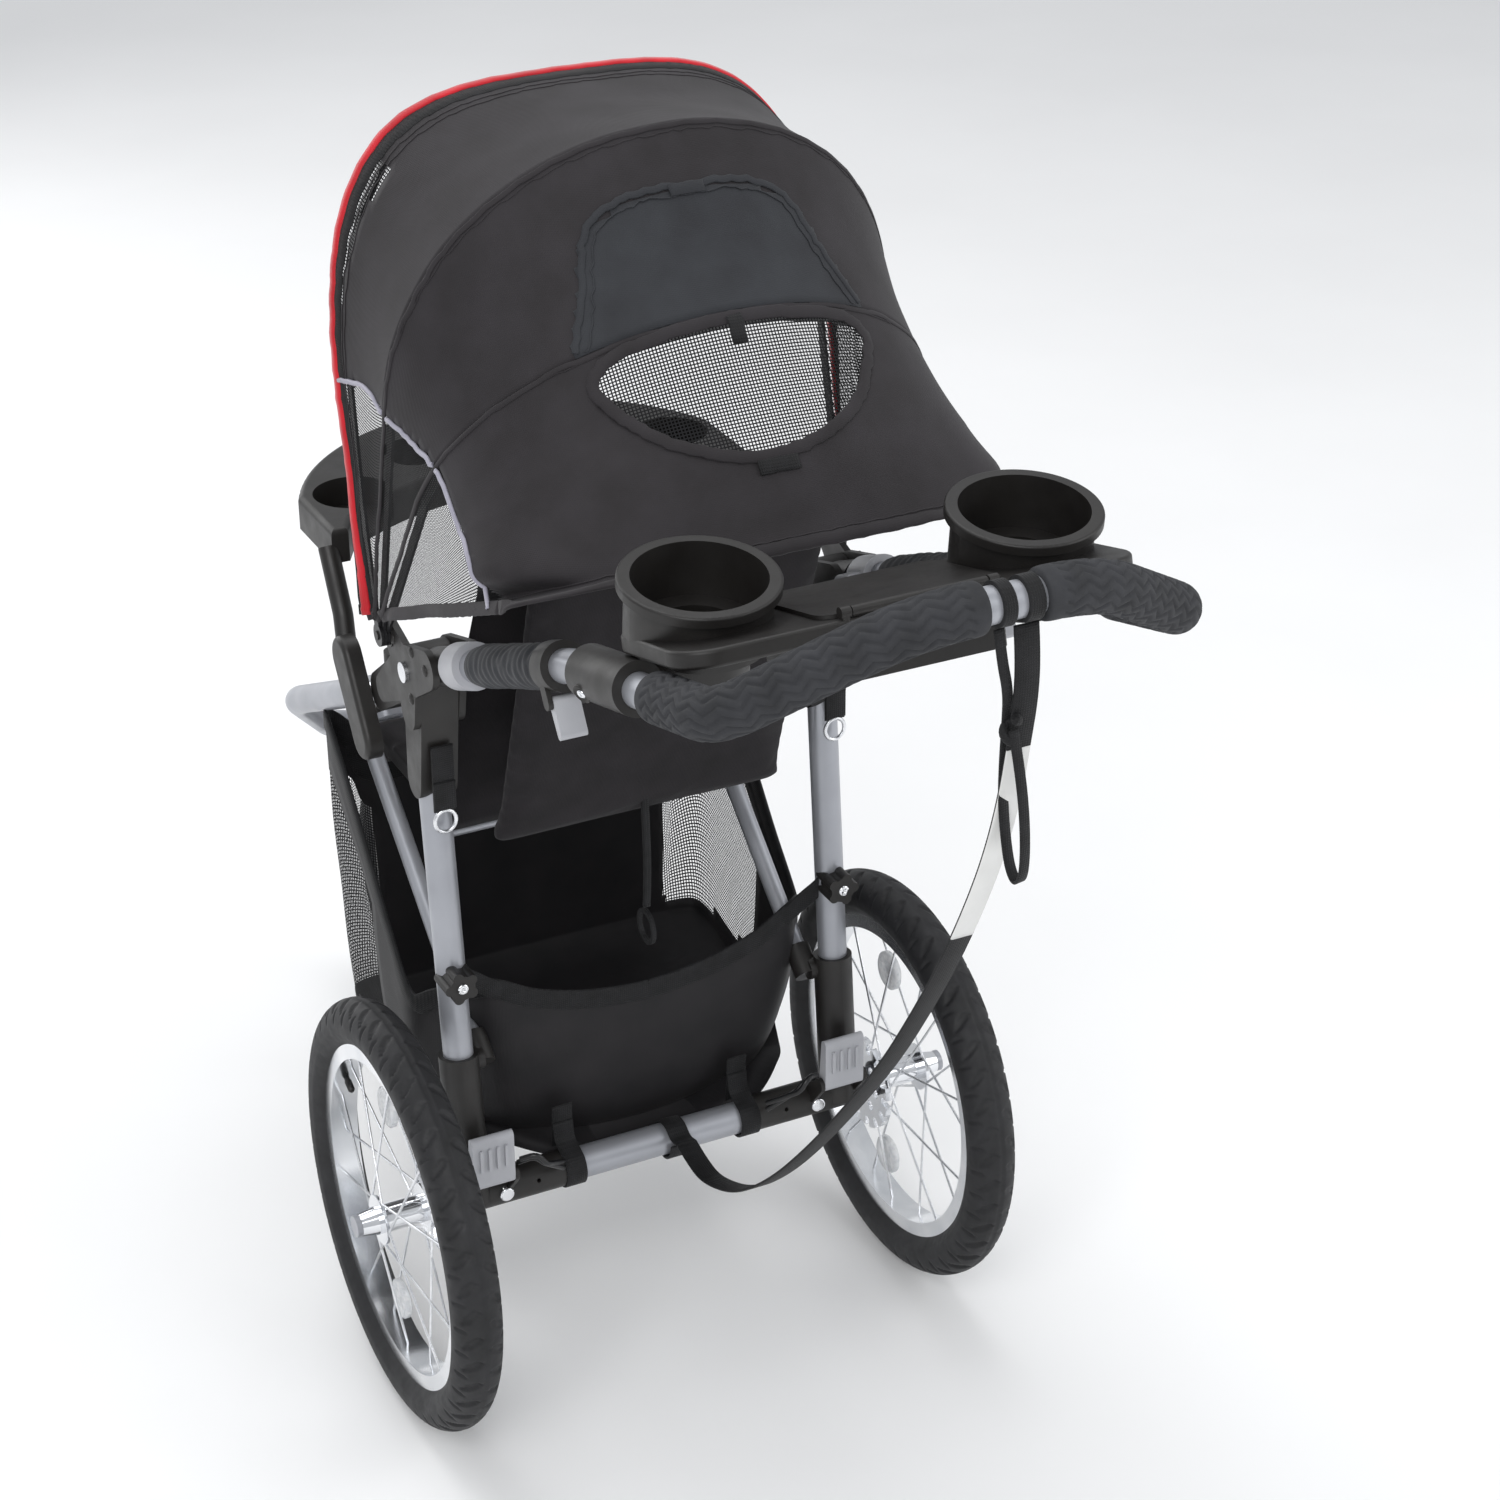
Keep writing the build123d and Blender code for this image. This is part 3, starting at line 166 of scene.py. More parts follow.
def start_material(name, **sockets):
    """A material whose shader has the given constants on its sockets."""
    material = bpy.data.materials.new(name)
    material.use_nodes = True
    tree = material.node_tree
    shader = tree.nodes["Principled BSDF"]
    for socket, value in sockets.items():
        shader.inputs[socket.replace("_", " ").title().replace("Ior", "IOR")].default_value = value
    return material, tree, shader


def in_mm(tree, space="Object"):
    """Coordinates in millimetres: the object's own, or a cloth's flat ones when space is UV."""
    coords = add_node(tree, "ShaderNodeTexCoord")
    return add_node(
        tree,
        "ShaderNodeVectorMath",
        {0: coords.outputs[space], 1: (1000, 1000, 1000)},
        operation="MULTIPLY",
    ).outputs["Vector"]


# a noise texture's values mostly keep between these
CLOUD_LOW = 0.3
CLOUD_HIGH = 0.7
# the wave texture's scale for one band in each unit of length
WAVE_SCALE = 0.314


def two_tone(tree, shader, where, size, dark, light, detail=4.0):
    """Colour that drifts between two shades over patches of a size in millimetres."""
    cloud = add_node(
        tree, "ShaderNodeTexNoise", {"Vector": where, "Scale": 1 / size, "Detail": detail}
    )
    ramp = add_node(tree, "ShaderNodeValToRGB", {"Fac": cloud.outputs["Fac"]})
    ramp.color_ramp.elements[0].position = CLOUD_LOW
    ramp.color_ramp.elements[1].position = CLOUD_HIGH
    ramp.color_ramp.elements[0].color = hex_colour(dark)
    ramp.color_ramp.elements[1].color = hex_colour(light)
    tree.links.new(ramp.outputs["Color"], shader.inputs["Base Color"])


def bump(tree, shader, height, depth):
    """Relief of a depth in millimetres from a height of 0 to 1."""
    made = add_node(
        tree, "ShaderNodeBump", {"Height": height, "Strength": 1.0, "Distance": depth * MM}
    )
    tree.links.new(made.outputs["Normal"], shader.inputs["Normal"])


def rough_patches(tree, shader, where, size, low, high):
    """Roughness that drifts between two values over patches of a size in millimetres."""
    cloud = add_node(tree, "ShaderNodeTexNoise", {"Vector": where, "Scale": 1 / size, "Detail": 3.0})
    spread = add_node(
        tree,
        "ShaderNodeMapRange",
        {
            "Value": cloud.outputs["Fac"],
            "From Min": CLOUD_LOW,
            "From Max": CLOUD_HIGH,
            "To Min": low,
            "To Max": high,
        },
    )
    tree.links.new(spread.outputs["Result"], shader.inputs["Roughness"])


def painted_paper():
    """Seamless studio paper: matt, nearly white."""
    material, tree, shader = start_material("painted_paper", roughness=0.9)
    two_tone(tree, shader, in_mm(tree), 600.0, "#f3f3f3", "#f7f7f7")
    return material


def grained(name, dark, light, roughness, grain, depth, patch=60.0, metallic=0.0):
    """A moulded or painted surface: slight drift of colour, a fine all-over grain."""
    material, tree, shader = start_material(name, metallic=metallic)
    where = in_mm(tree)
    two_tone(tree, shader, where, patch, dark, light)
    rough_patches(tree, shader, where, patch / 3, roughness - 0.05, roughness + 0.07)
    grit = add_node(tree, "ShaderNodeTexNoise", {"Vector": where, "Scale": 1 / grain, "Detail": 2.0})
    bump(tree, shader, grit.outputs["Fac"], depth)
    return material


def silver_powder_coat():
    """Powder coat with aluminium flake: a soft broad highlight and a pin-fine orange peel."""
    return grained("silver_powder_coat", "#9c9ea4", "#adafb5", 0.36, 1.2, 0.03, 90.0, 0.55)


def black_enamel():
    """Stoved black enamel on steel strip: darker and glossier than the plastic."""
    return grained("black_enamel", "#141416", "#1c1c1f", 0.38, 1.0, 0.02)


def black_nylon():
    """Glass-filled black nylon, spark-eroded mould: a satin brown-black with a leathery grain."""
    return grained("black_moulded_nylon", "#181615", "#211f1d", 0.46, 0.9, 0.06)


def grey_nylon():
    """Light grey moulded nylon: flat satin with a faint drag of colour."""
    return grained("grey_moulded_nylon", "#a2a3a8", "#b3b4b8", 0.42, 0.8, 0.03)


def grip_rubber():
    """Foamed grip rubber: matt charcoal with a dusty bloom on its high spots."""
    return grained("foamed_grip_rubber", "#232427", "#2f3034", 0.78, 0.7, 0.10, 25.0)


def tyre_rubber():
    """Vulcanised black rubber: dry, nearly matt, slightly polished by the road."""
    return grained("vulcanised_rubber", "#101012", "#1c1c1f", 0.62, 1.4, 0.06, 30.0)


def polished_metal(name, tint, roughness, streak):
    """Bright metal with faint turning lines."""
    material, tree, shader = start_material(name, metallic=1.0)
    where = in_mm(tree)
    two_tone(tree, shader, where, 40.0, tint, "#f2f3f5", 2.0)
    rough_patches(tree, shader, where, streak, roughness, roughness + 0.06)
    lines = add_node(tree, "ShaderNodeTexNoise", {"Vector": where, "Scale": 1 / streak, "Detail": 2.0})
    bump(tree, shader, lines.outputs["Fac"], 0.01)
    return material


def polished_aluminium():
    """Polished rolled aluminium: bright and cool."""
    return polished_metal("polished_aluminium", "#d9dce0", 0.16, 0.8)


def chrome_plate():
    """Chrome on turned steel: a hard clear mirror."""
    return polished_metal("chrome_plate", "#e4e6ea", 0.08, 1.5)


def zinc_plate():
    """Bright zinc on drawn steel wire: softer than chrome."""
    return polished_metal("zinc_plate", "#c9cbcf", 0.24, 0.6)


def woven(name, dark, light, thread, depth, roughness=0.8, sheen=0.25, patch=40.0):
    """Plain-woven cloth: threads at a real spacing, drawn as crossed waves, and a soft sheen."""
    material, tree, shader = start_material(
        name, roughness=roughness, sheen_weight=sheen, sheen_roughness=0.45, specular_ior_level=0.3
    )
    where = in_mm(tree)
    two_tone(tree, shader, where, patch, dark, light)
    heights = []
    for direction in ("X", "Z"):
        wave = add_node(
            tree,
            "ShaderNodeTexWave",
            {"Vector": where, "Scale": WAVE_SCALE / thread, "Distortion": 0.6, "Detail": 1.0},
            bands_direction=direction,
        )
        heights.append(wave.outputs["Fac"])
    crossed = add_node(tree, "ShaderNodeMath", {0: heights[0], 1: heights[1]}, operation="MULTIPLY")
    bump(tree, shader, crossed.outputs["Value"], depth)
    return material


def canopy_polyester():
    """Tight 600 denier polyester: charcoal, a dull even sheen, threads 0.5 mm drawn at 1.1 mm."""
    return woven("woven_polyester_charcoal", "#232022", "#2c292c", 1.1, 0.10, 0.72, 0.06)


def flap_polyester():
    """The same cloth doubled: a touch bluer and lighter."""
    return woven("woven_polyester_doubled", "#25262a", "#2e3034", 1.1, 0.10, 0.70, 0.06)


def seat_polyester():
    """Brushed polyester over foam: black, soft, slightly fuzzy."""
    return woven("brushed_polyester_black", "#181618", "#221f22", 1.4, 0.14, 0.9, 0.06)


def basket_polyester():
    """Coated basket cloth: flatter and smoother than the canopy's."""
    return woven("coated_polyester_black", "#19181a", "#222022", 1.2, 0.08, 0.62, 0.04)


def webbing_cloth():
    """Nylon webbing: ribs 2 mm apart across a jet black tape."""
    return woven("nylon_webbing_black", "#121213", "#1c1c1e", 2.0, 0.35, 0.7, 0.04, 12.0)


def pale_webbing():
    """A woven label tape sewn on the webbing: off-white and smooth."""
    return woven("label_tape_white", "#d6d6d4", "#e2e2e0", 1.0, 0.08, 0.7, 0.1)


def red_binding():
    """Red polyester bias binding with a satin face."""
    return woven("polyester_binding_red", "#b00e1c", "#cf1426", 1.2, 0.12, 0.5, 0.3, 30.0)


def pale_piping():
    """Reflective piping: lavender grey with a silvery face."""
    return woven("reflective_piping", "#8f8d9b", "#a5a3b0", 0.9, 0.06, 0.35, 0.1)


NET_SPACING = 2.8
NET_THREAD_SHARE = 0.34


def knitted_net():
    """Warp-knitted net: holes 2.8 mm apart, cut by alpha, so what lies behind shows."""
    material, tree, shader = start_material(
        "knitted_net_black", roughness=0.8, specular_ior_level=0.2
    )
    where = in_mm(tree, "UV")
    two_tone(tree, shader, where, 20.0, "#0f0f10", "#19191b")
    threads = []
    for direction in ("X", "Y"):
        wave = add_node(
            tree,
            "ShaderNodeTexWave",
            {"Vector": where, "Scale": WAVE_SCALE / NET_SPACING, "Distortion": 0.0, "Detail": 0.0},
            bands_direction=direction,
        )
        thread = add_node(
            tree,
            "ShaderNodeMath",
            {0: wave.outputs["Fac"], 1: 1 - NET_THREAD_SHARE},
            operation="GREATER_THAN",
        )
        threads.append(thread.outputs["Value"])
    either = add_node(tree, "ShaderNodeMath", {0: threads[0], 1: threads[1]}, operation="MAXIMUM")
    tree.links.new(either.outputs["Value"], shader.inputs["Alpha"])
    return material


def clear_acrylic():
    """A moulded acrylic reflector: clear, with prisms 2 mm across behind its face."""
    material, tree, shader = start_material("clear_acrylic", roughness=0.12, ior=1.49)
    where = in_mm(tree)
    two_tone(tree, shader, where, 6.0, "#dfe2e6", "#ffffff")
    shader.inputs["Transmission Weight"].default_value = 0.35
    cells = add_node(tree, "ShaderNodeTexVoronoi", {"Vector": where, "Scale": 0.5})
    bump(tree, shader, cells.outputs["Distance"], 0.6)
    return material


def cable_vinyl():
    """Extruded black vinyl over brake cable: smooth and a little shiny."""
    return grained("extruded_vinyl_black", "#111112", "#1a1a1b", 0.33, 2.0, 0.02)


def red_plastic():
    """Gloss red moulded plastic."""
    return grained("moulded_plastic_red", "#a3101a", "#b8141f", 0.3, 1.0, 0.01)


finish_of_slot = {
    "silver_tube": silver_powder_coat(),
    "black_tube": black_enamel(),
    "black_plastic": black_nylon(),
    "grey_plastic": grey_nylon(),
    "chrome": chrome_plate(),
    "steel": zinc_plate(),
    "rim": polished_aluminium(),
    "tyre": tyre_rubber(),
    "grip_rubber": grip_rubber(),
    "canopy_fabric": canopy_polyester(),
    "seat_fabric": seat_polyester(),
    "webbing": webbing_cloth(),
    "cable_jacket": cable_vinyl(),
    "red_button": red_plastic(),
}
flap_cloth = flap_polyester()
basket_cloth = basket_polyester()
label_tape = pale_webbing()
binding_red = red_binding()
piping_grey = pale_piping()
net_cloth = knitted_net()
acrylic = clear_acrylic()


def dress_cad_nodes():
    """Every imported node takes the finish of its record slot."""
    for part in frame["record"]["subparts"]:
        node = frame["nodes"][part["node"]]
        finish = finish_of_slot[part["material_slot"]]
        for slot in node.material_slots:
            slot.material = finish
        if not node.material_slots:
            node.data.materials.append(finish)


make_camera()
make_studio()
dress_cad_nodes()


# ---------------------------------------------------------------- making meshes
def finish_mesh(name, bm, finish):
    """A smooth-shaded scene object from a bmesh, with its material."""
    mesh = bpy.data.meshes.new(name)
    bmesh.ops.recalc_face_normals(bm, faces=bm.faces)
    bm.to_mesh(mesh)
    bm.free()
    for polygon in mesh.polygons:
        polygon.use_smooth = True
    mesh.materials.append(finish)
    piece = bpy.data.objects.new(name, mesh)
    bpy.context.scene.collection.objects.link(piece)
    return piece


def modify(piece, kind, **settings):
    """Add a modifier with its settings."""
    modifier = piece.modifiers.new(kind.lower(), kind)
    for name, value in settings.items():
        setattr(modifier, name, value)


def skin(bm, rings, around=False):
    """Faces from each ring of vertices to the next: round to the first, or closed by end faces."""
    for ring, after in zip(rings, rings[1:] + (rings[:1] if around else [])):
        for j in range(len(ring)):
            k = (j + 1) % len(ring)
            bm.faces.new((ring[j], ring[k], after[k], after[j]))
    if not around:
        bm.faces.new(rings[0][::-1])
        bm.faces.new(rings[-1])


def sheet_mesh(name, rows, finish, thick=0.0012, keep=None, around=False):
    """A cloth through rows of points, flat coordinates in metres; keep says which cells stay."""
    bm = bmesh.new()
    uv = bm.loops.layers.uv.new("flat")
    grid = [[bm.verts.new(point) for point in row] for row in rows]
    middle = len(rows[0]) // 2
    flat = []
    for i, row in enumerate(rows):
        along = sum((rows[k + 1][middle] - rows[k][middle]).length for k in range(i))
        run = [0.0]
        for a, b in zip(row, row[1:]):
            run.append(run[-1] + (b - a).length)
        flat.append([(r - run[middle], along) for r in run])
    columns = len(rows[0]) if around else len(rows[0]) - 1
    for i in range(len(rows) - 1):
        for j in range(columns):
            if keep and not keep(i, j):
                continue
            k = (j + 1) % len(rows[0])
            face = bm.faces.new((grid[i][j], grid[i][k], grid[i + 1][k], grid[i + 1][j]))
            for loop, (a, b) in zip(face.loops, ((i, j), (i, k), (i + 1, k), (i + 1, j))):
                loop[uv].uv = flat[a][b]
    bmesh.ops.delete(bm, geom=[v for v in bm.verts if not v.link_faces], context="VERTS")
    piece = finish_mesh(name, bm, finish)
    if thick:
        modify(piece, "SOLIDIFY", thickness=thick, offset=0.0)
    return piece


def frames_along(points, side):
    """At each point: the way along, and two directions square to it, the first nearest to side."""
    found = []
    for i in range(len(points)):
        ahead = (points[min(i + 1, len(points) - 1)] - points[max(i - 1, 0)]).normalized()
        wanted = side[i] if isinstance(side, list) else side
        across = (wanted - ahead * wanted.dot(ahead)).normalized()
        found.append((ahead, across, ahead.cross(across).normalized()))
    return found


def swept(name, points, outline, side, finish, closed=False):
    """An outline, as (across, out) points in metres, carried along a line of points."""
    bm = bmesh.new()
    rings = []
    for point, (_, across, out) in zip(points, frames_along(points, side)):
        rings.append([bm.verts.new(point + across * a + out * b) for a, b in outline])
    skin(bm, rings, closed)
    return finish_mesh(name, bm, finish)


def oval(width, height, count=12):
    """An oval section, as (across, out) points in metres."""
    return [
        (width / 2 * math.cos(math.tau * i / count), height / 2 * math.sin(math.tau * i / count))
        for i in range(count)
    ]


def tape_outline(width, height):
    """A flat tape's section, its four corners a little rounded."""
    w, h, c = width / 2, height / 2, height * 0.3
    right = [(w - c, h), (w, h - c), (w, c - h), (w - c, -h)]
    return right + [(-a, b) for a, b in right[::-1]]


def turned(name, profile, centre, axis, finish, steps=48):
    """A lathe-turned piece: (along, radius) points in millimetres, about an axis through a centre."""
    axis = axis.normalized()
    side = axis.orthogonal().normalized()
    other = axis.cross(side)
    bm = bmesh.new()
    rings = []
    for step in range(steps):
        angle = math.tau * step / steps
        out = side * math.cos(angle) + other * math.sin(angle)
        rings.append([bm.verts.new(centre + axis * a * MM + out * r * MM) for a, r in profile])
    skin(bm, rings, around=True)
    bmesh.ops.remove_doubles(bm, verts=bm.verts, dist=1e-7)
    return finish_mesh(name, bm, finish)


def smooth_line(points, per=8):
    """Points along a Catmull-Rom line through the given ones."""
    found = []
    ends = [points[0] * 2 - points[1]] + list(points) + [points[-1] * 2 - points[-2]]
    for a, b, c, d in zip(ends, ends[1:], ends[2:], ends[3:]):
        for step in range(per):
            t = step / per
            found.append(
                0.5
                * (
                    b * 2
                    + (c - a) * t
                    + (a * 2 - b * 5 + c * 4 - d) * t * t
                    + (b * 3 - a - c * 3 + d) * t * t * t
                )
            )
    found.append(points[-1].copy())
    return found


def rounded_block(name, centre, size, radius, finish):
    """A block with rounded edges, its size and edge radius in millimetres."""
    bm = bmesh.new()
    bmesh.ops.create_cube(bm, size=1.0)
    for vertex in bm.verts:
        vertex.co = Vector([c * s * MM for c, s in zip(vertex.co, size)])
    bmesh.ops.bevel(
        bm, geom=bm.edges[:], offset=radius * MM, segments=3, profile=0.5, affect="EDGES"
    )
    for vertex in bm.verts:
        vertex.co = centre + vertex.co
    return finish_mesh(name, bm, finish)


# ---------------------------------------------------------------- canopy
CANOPY_Y = -61.0
CANOPY_Z = 743.0
PIVOT = at(0, CANOPY_Y, CANOPY_Z)
FRONT_ANGLE = 101.5
MID_ANGLE = 75.5
REAR_ANGLE = 55.0
HEM_ANGLE = 27.0
COVER = [
    # angle, hem, half width, spring, rise, power: the cloth's outline in planes through the pivot
    (FRONT_ANGLE, 20.0, 227.5, 120.0, 321.0, 3.5),
    (MID_ANGLE, 20.5, 224.0, 235.0, 221.0, 2.1),
    (REAR_ANGLE, 31.0, 222.5, 200.0, 196.0, 2.1),
    (40.0, 62.0, 222.5, 255.0, 128.0, 2.1),
    (31.0, 135.0, 222.5, 302.0, 83.0, 2.1),
    (HEM_ANGLE, 320.0, 222.5, 335.0, 58.0, 2.0),
]
COLUMNS = 150


def polar(x, angle, reach):
    """A point at a height x across, an angle and a distance from the canopy's pivot line."""
    turn = math.radians(angle)
    return at(x, CANOPY_Y + reach * math.cos(turn), CANOPY_Z + reach * math.sin(turn))


def cover_section(angle, hem, half, spring, rise, power):
    """Points spaced evenly from the right hem over the top to the left hem."""
    outline = [(-half, hem)]
    fine = 120
    for step in range(fine + 1):
        turn = math.pi * (1 - step / fine)
        c, s = math.cos(turn), math.sin(turn)
        outline.append(
            (half * math.copysign(abs(c) ** (2 / power), c), spring + rise * abs(s) ** (2 / power))
        )
    outline.append((half, hem))
    run = [0.0]
    for (x0, s0), (x1, s1) in zip(outline, outline[1:]):
        run.append(run[-1] + math.hypot(x1 - x0, s1 - s0))
    found = []
    k = 0
    for column in range(COLUMNS + 1):
        want = run[-1] * column / COLUMNS
        while k < len(run) - 2 and run[k + 1] < want:
            k += 1
        share = (want - run[k]) / max(run[k + 1] - run[k], 1e-9)
        x = outline[k][0] + (outline[k + 1][0] - outline[k][0]) * share
        reach = outline[k][1] + (outline[k + 1][1] - outline[k][1]) * share
        found.append(polar(x, angle, reach))
    return found


sections = [cover_section(*row) for row in COVER]


def drawn_folds(point):
    """Small slack in the cloth, in metres: broad drift and a few drawn folds near the rear hem."""
    drift = noise.noise(point * 9.0) * 1.6 + noise.noise(point * 23.0) * 0.6
    low = max(0.0, min(1.0, (at(0, 0, 1010).z - point.z) / 0.12))
    folds = math.sin(point.x * 95 + point.y * 40 + noise.noise(point * 6.0) * 3) * 1.1 * low
    return (drift + folds) * MM


def cover_rows(parts):
    """Rows of points between sections, on straight or curved lines, with slack added inward."""
    rows = []
    for first, last, count, sag, curved in parts:
        for step in range(count):
            t = step / count
            row = []
            for column in range(COLUMNS + 1):
                a, b = sections[first][column], sections[last][column]
                if curved:
                    before = sections[first - 1][column] if curved == "both" else a * 2 - b
                    after = sections[last + 1][column] if last + 1 < len(sections) else b * 2 - a
                    c0 = (b - before) * 0.5
                    c1 = (after - a) * 0.5
                    point = (
                        a * (2 * t**3 - 3 * t**2 + 1)
                        + c0 * (t**3 - 2 * t**2 + t)
                        + b * (3 * t**2 - 2 * t**3)
                        + c1 * (t**3 - t**2)
                    )
                else:
                    point = a.lerp(b, t)
                row.append((point, sag * math.sin(math.pi * t)))
            rows.append(row)
    rows.append([(point, 0.0) for point in sections[parts[-1][1]]])
    found = []
    for row in rows:
        line = []
        for point, sag in row:
            inward = Vector(
                (-point.x * 0.6, PIVOT.y + 0.05 - point.y, PIVOT.z + 0.1 - point.z)
            ).normalized()
            line.append(point + inward * (sag * MM + drawn_folds(point)))
        found.append(line)
    return found


front_rows = cover_rows([(0, 1, 26, 5.0, "")])
mid_rows = cover_rows([(1, 2, 24, 4.0, "")])
rear_rows = cover_rows([(2, 3, 24, 2.0, "free"), (3, 4, 16, 0.0, "both"), (4, 5, 14, 0.0, "both")])
mid_rows[0] = front_rows[-1]
rear_rows[0] = mid_rows[-1]

# the reflective piping along the side nets' top edge: (y, z)
PIPING = [
    (-100, 958), (-88, 963), (-48, 969), (2, 961), (56, 955), (87, 950),
    (116, 936), (145, 922), (175, 908), (193, 893), (205, 876),
]
NET_SIDE_X = 0.17
PIPING_X = 224.5
piping_line = [(AXLE_Y + y * MM, z * MM) for y, z in PIPING]


def under_piping(point):
    """True on the lower side of the cover, where the net is let in."""
    if abs(point.x) < NET_SIDE_X:
        return False
    for (y0, z0), (y1, z1) in zip(piping_line, piping_line[1:]):
        if y0 <= point.y <= y1:
            return point.z < z0 + (z1 - z0) * (point.y - y0) / (y1 - y0)
    return point.y < piping_line[0][0]


# the rear window's outline: across, and the angle about the pivot
WINDOW = [
    (0, 54.2), (60, 54.0), (100, 53.4), (117, 51.6), (116, 49.0),
    (104, 45.8), (84, 42.4), (58, 39.8), (28, 38.2), (0, 37.7),
]


def angle_of(point):
    """A point's angle about the pivot line, in degrees up from straight back."""
    return math.degrees(math.atan2(point.z - PIVOT.z, point.y - PIVOT.y))


def in_window(point):
    across, angle = abs(point.x) / MM, angle_of(point)
    if not WINDOW[-1][1] < angle < WINDOW[0][1]:
        return False
    inside = False
    for (x0, a0), (x1, a1) in zip(WINDOW, WINDOW[1:]):
        if (a0 - angle) * (a1 - angle) <= 0 and a0 != a1:
            inside = across < x0 + (x1 - x0) * (angle - a0) / (a1 - a0) or inside
    return inside


def cell(rows, i, j):
    """The middle of one cell of a cloth's grid."""
    return (rows[i][j] + rows[i + 1][j + 1]) / 2


def blend_panel(piece, front, back, front_angle, back_angle):
    """Bake the piece's place in the scene into its mesh."""
    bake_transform(piece)


panels = {
    "front": (front_rows, ("canopy_front", "canopy_mid", FRONT_ANGLE, MID_ANGLE)),
    "mid": (mid_rows, ("canopy_mid", "canopy_rear", MID_ANGLE, REAR_ANGLE)),
    "rear": (rear_rows, ("canopy_rear", "handle", REAR_ANGLE, HEM_ANGLE)),
}


def make_canopy():
    """Three cloth panels with their nets, split at the bows."""
    for name, (rows, bodies) in panels.items():
        cloth = sheet_mesh(
            f"canopy_{name}_panel", rows, finish_of_slot["canopy_fabric"],
            keep=lambda i, j: not (under_piping(cell(rows, i, j)) or in_window(cell(rows, i, j))),
        )
        nets = [
            sheet_mesh(
                f"canopy_{name}_side_net", rows, net_cloth, thick=0.0,
                keep=lambda i, j: under_piping(cell(rows, i, j)),
            )
        ]
        if name == "rear":
            nets.append(
                sheet_mesh(
                    "canopy_window_net", rows, net_cloth, thick=0.0,
                    keep=lambda i, j: in_window(cell(rows, i, j)),
                )
            )
        for piece in [cloth] + nets:
            blend_panel(piece, *bodies)
        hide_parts("canopy_cover")


def grid_normals(rows):
    """The way out of a cloth at each point of its grid, row by row."""
    found = []
    for i, row in enumerate(rows):
        for j in range(len(row)):
            down = rows[min(i + 1, len(rows) - 1)][j] - rows[max(i - 1, 0)][j]
            over = row[min(j + 1, len(row) - 1)] - row[max(j - 1, 0)]
            found.append(over.cross(down).normalized())
    return found


def surface_finder(rows):
    """A function that gives the nearest place on a cloth, and the way out of it."""
    points = [point for row in rows for point in row]
    normals = grid_normals(rows)
    outward = -1 if normals[len(normals) // 2].z < 0 else 1
    tree = kdtree.KDTree(len(points))
    for number, point in enumerate(points):
        tree.insert(point, number)
    tree.balance()

    def find(guess):
        place, normal, total = Vector(), Vector(), 0.0
        for point, number, distance in tree.find_n(guess, 5):
            weight = 1 / (distance + 0.001)
            place += point * weight
            normal += normals[number] * weight * outward
            total += weight
        return place / total, normal.normalized()

    return find


finders = {name: surface_finder(rows) for name, (rows, _) in panels.items()}


def cover_guess(x, angle):
    """Where the cover should be at a distance across and an angle."""
    for row, after in zip(COVER, COVER[1:]):
        if row[0] >= angle >= after[0]:
            t = (row[0] - angle) / (row[0] - after[0])
            _, _, half, spring, rise, power = (a + (b - a) * t for a, b in zip(row, after))
            arch = max(0.0, 1 - (abs(x) / half) ** power) ** (1 / power)
            return polar(x, angle, spring + rise * arch)
    raise ValueError("off the cover")


def tape_on(name, panel, guesses, width, height, finish, lift, closed=False):
    """A tape sewn on a canopy panel along a line of guessed places, its middle lifted off it."""
    found = [finders[panel](guess) for guess in guesses]
    points = [point + normal * lift for point, normal in found]
    last = len(points) - 1
    sides = []
    for i, (_, normal) in enumerate(found):
        ahead = points[min(i + 1, last)] - points[max(i - 1, 0)]
        sides.append(normal.cross(ahead).normalized())
    piece = swept(name, points, tape_outline(width * MM, height * MM), sides, finish, closed)
    blend_panel(piece, *panels[panel][1])
    return piece


def evened(points, spacing=0.006):
    """The same line with its points an even distance apart."""
    found = [points[0]]
    left = spacing
    for a, b in zip(points, points[1:]):
        length = (b - a).length
        while left <= length:
            found.append(a.lerp(b, left / length))
            left += spacing
        left -= length
    return found + [points[-1]]


BINDING_W = 11.0
FRONT_TRIM_W = 9.0
# how far a tape's middle stands off the cloth, in metres, by what it is
LIFT_EDGE = 0.0004
LIFT_SEAM = 0.0007
LIFT_STITCH = 0.0009
LIFT_BINDING = 0.0012


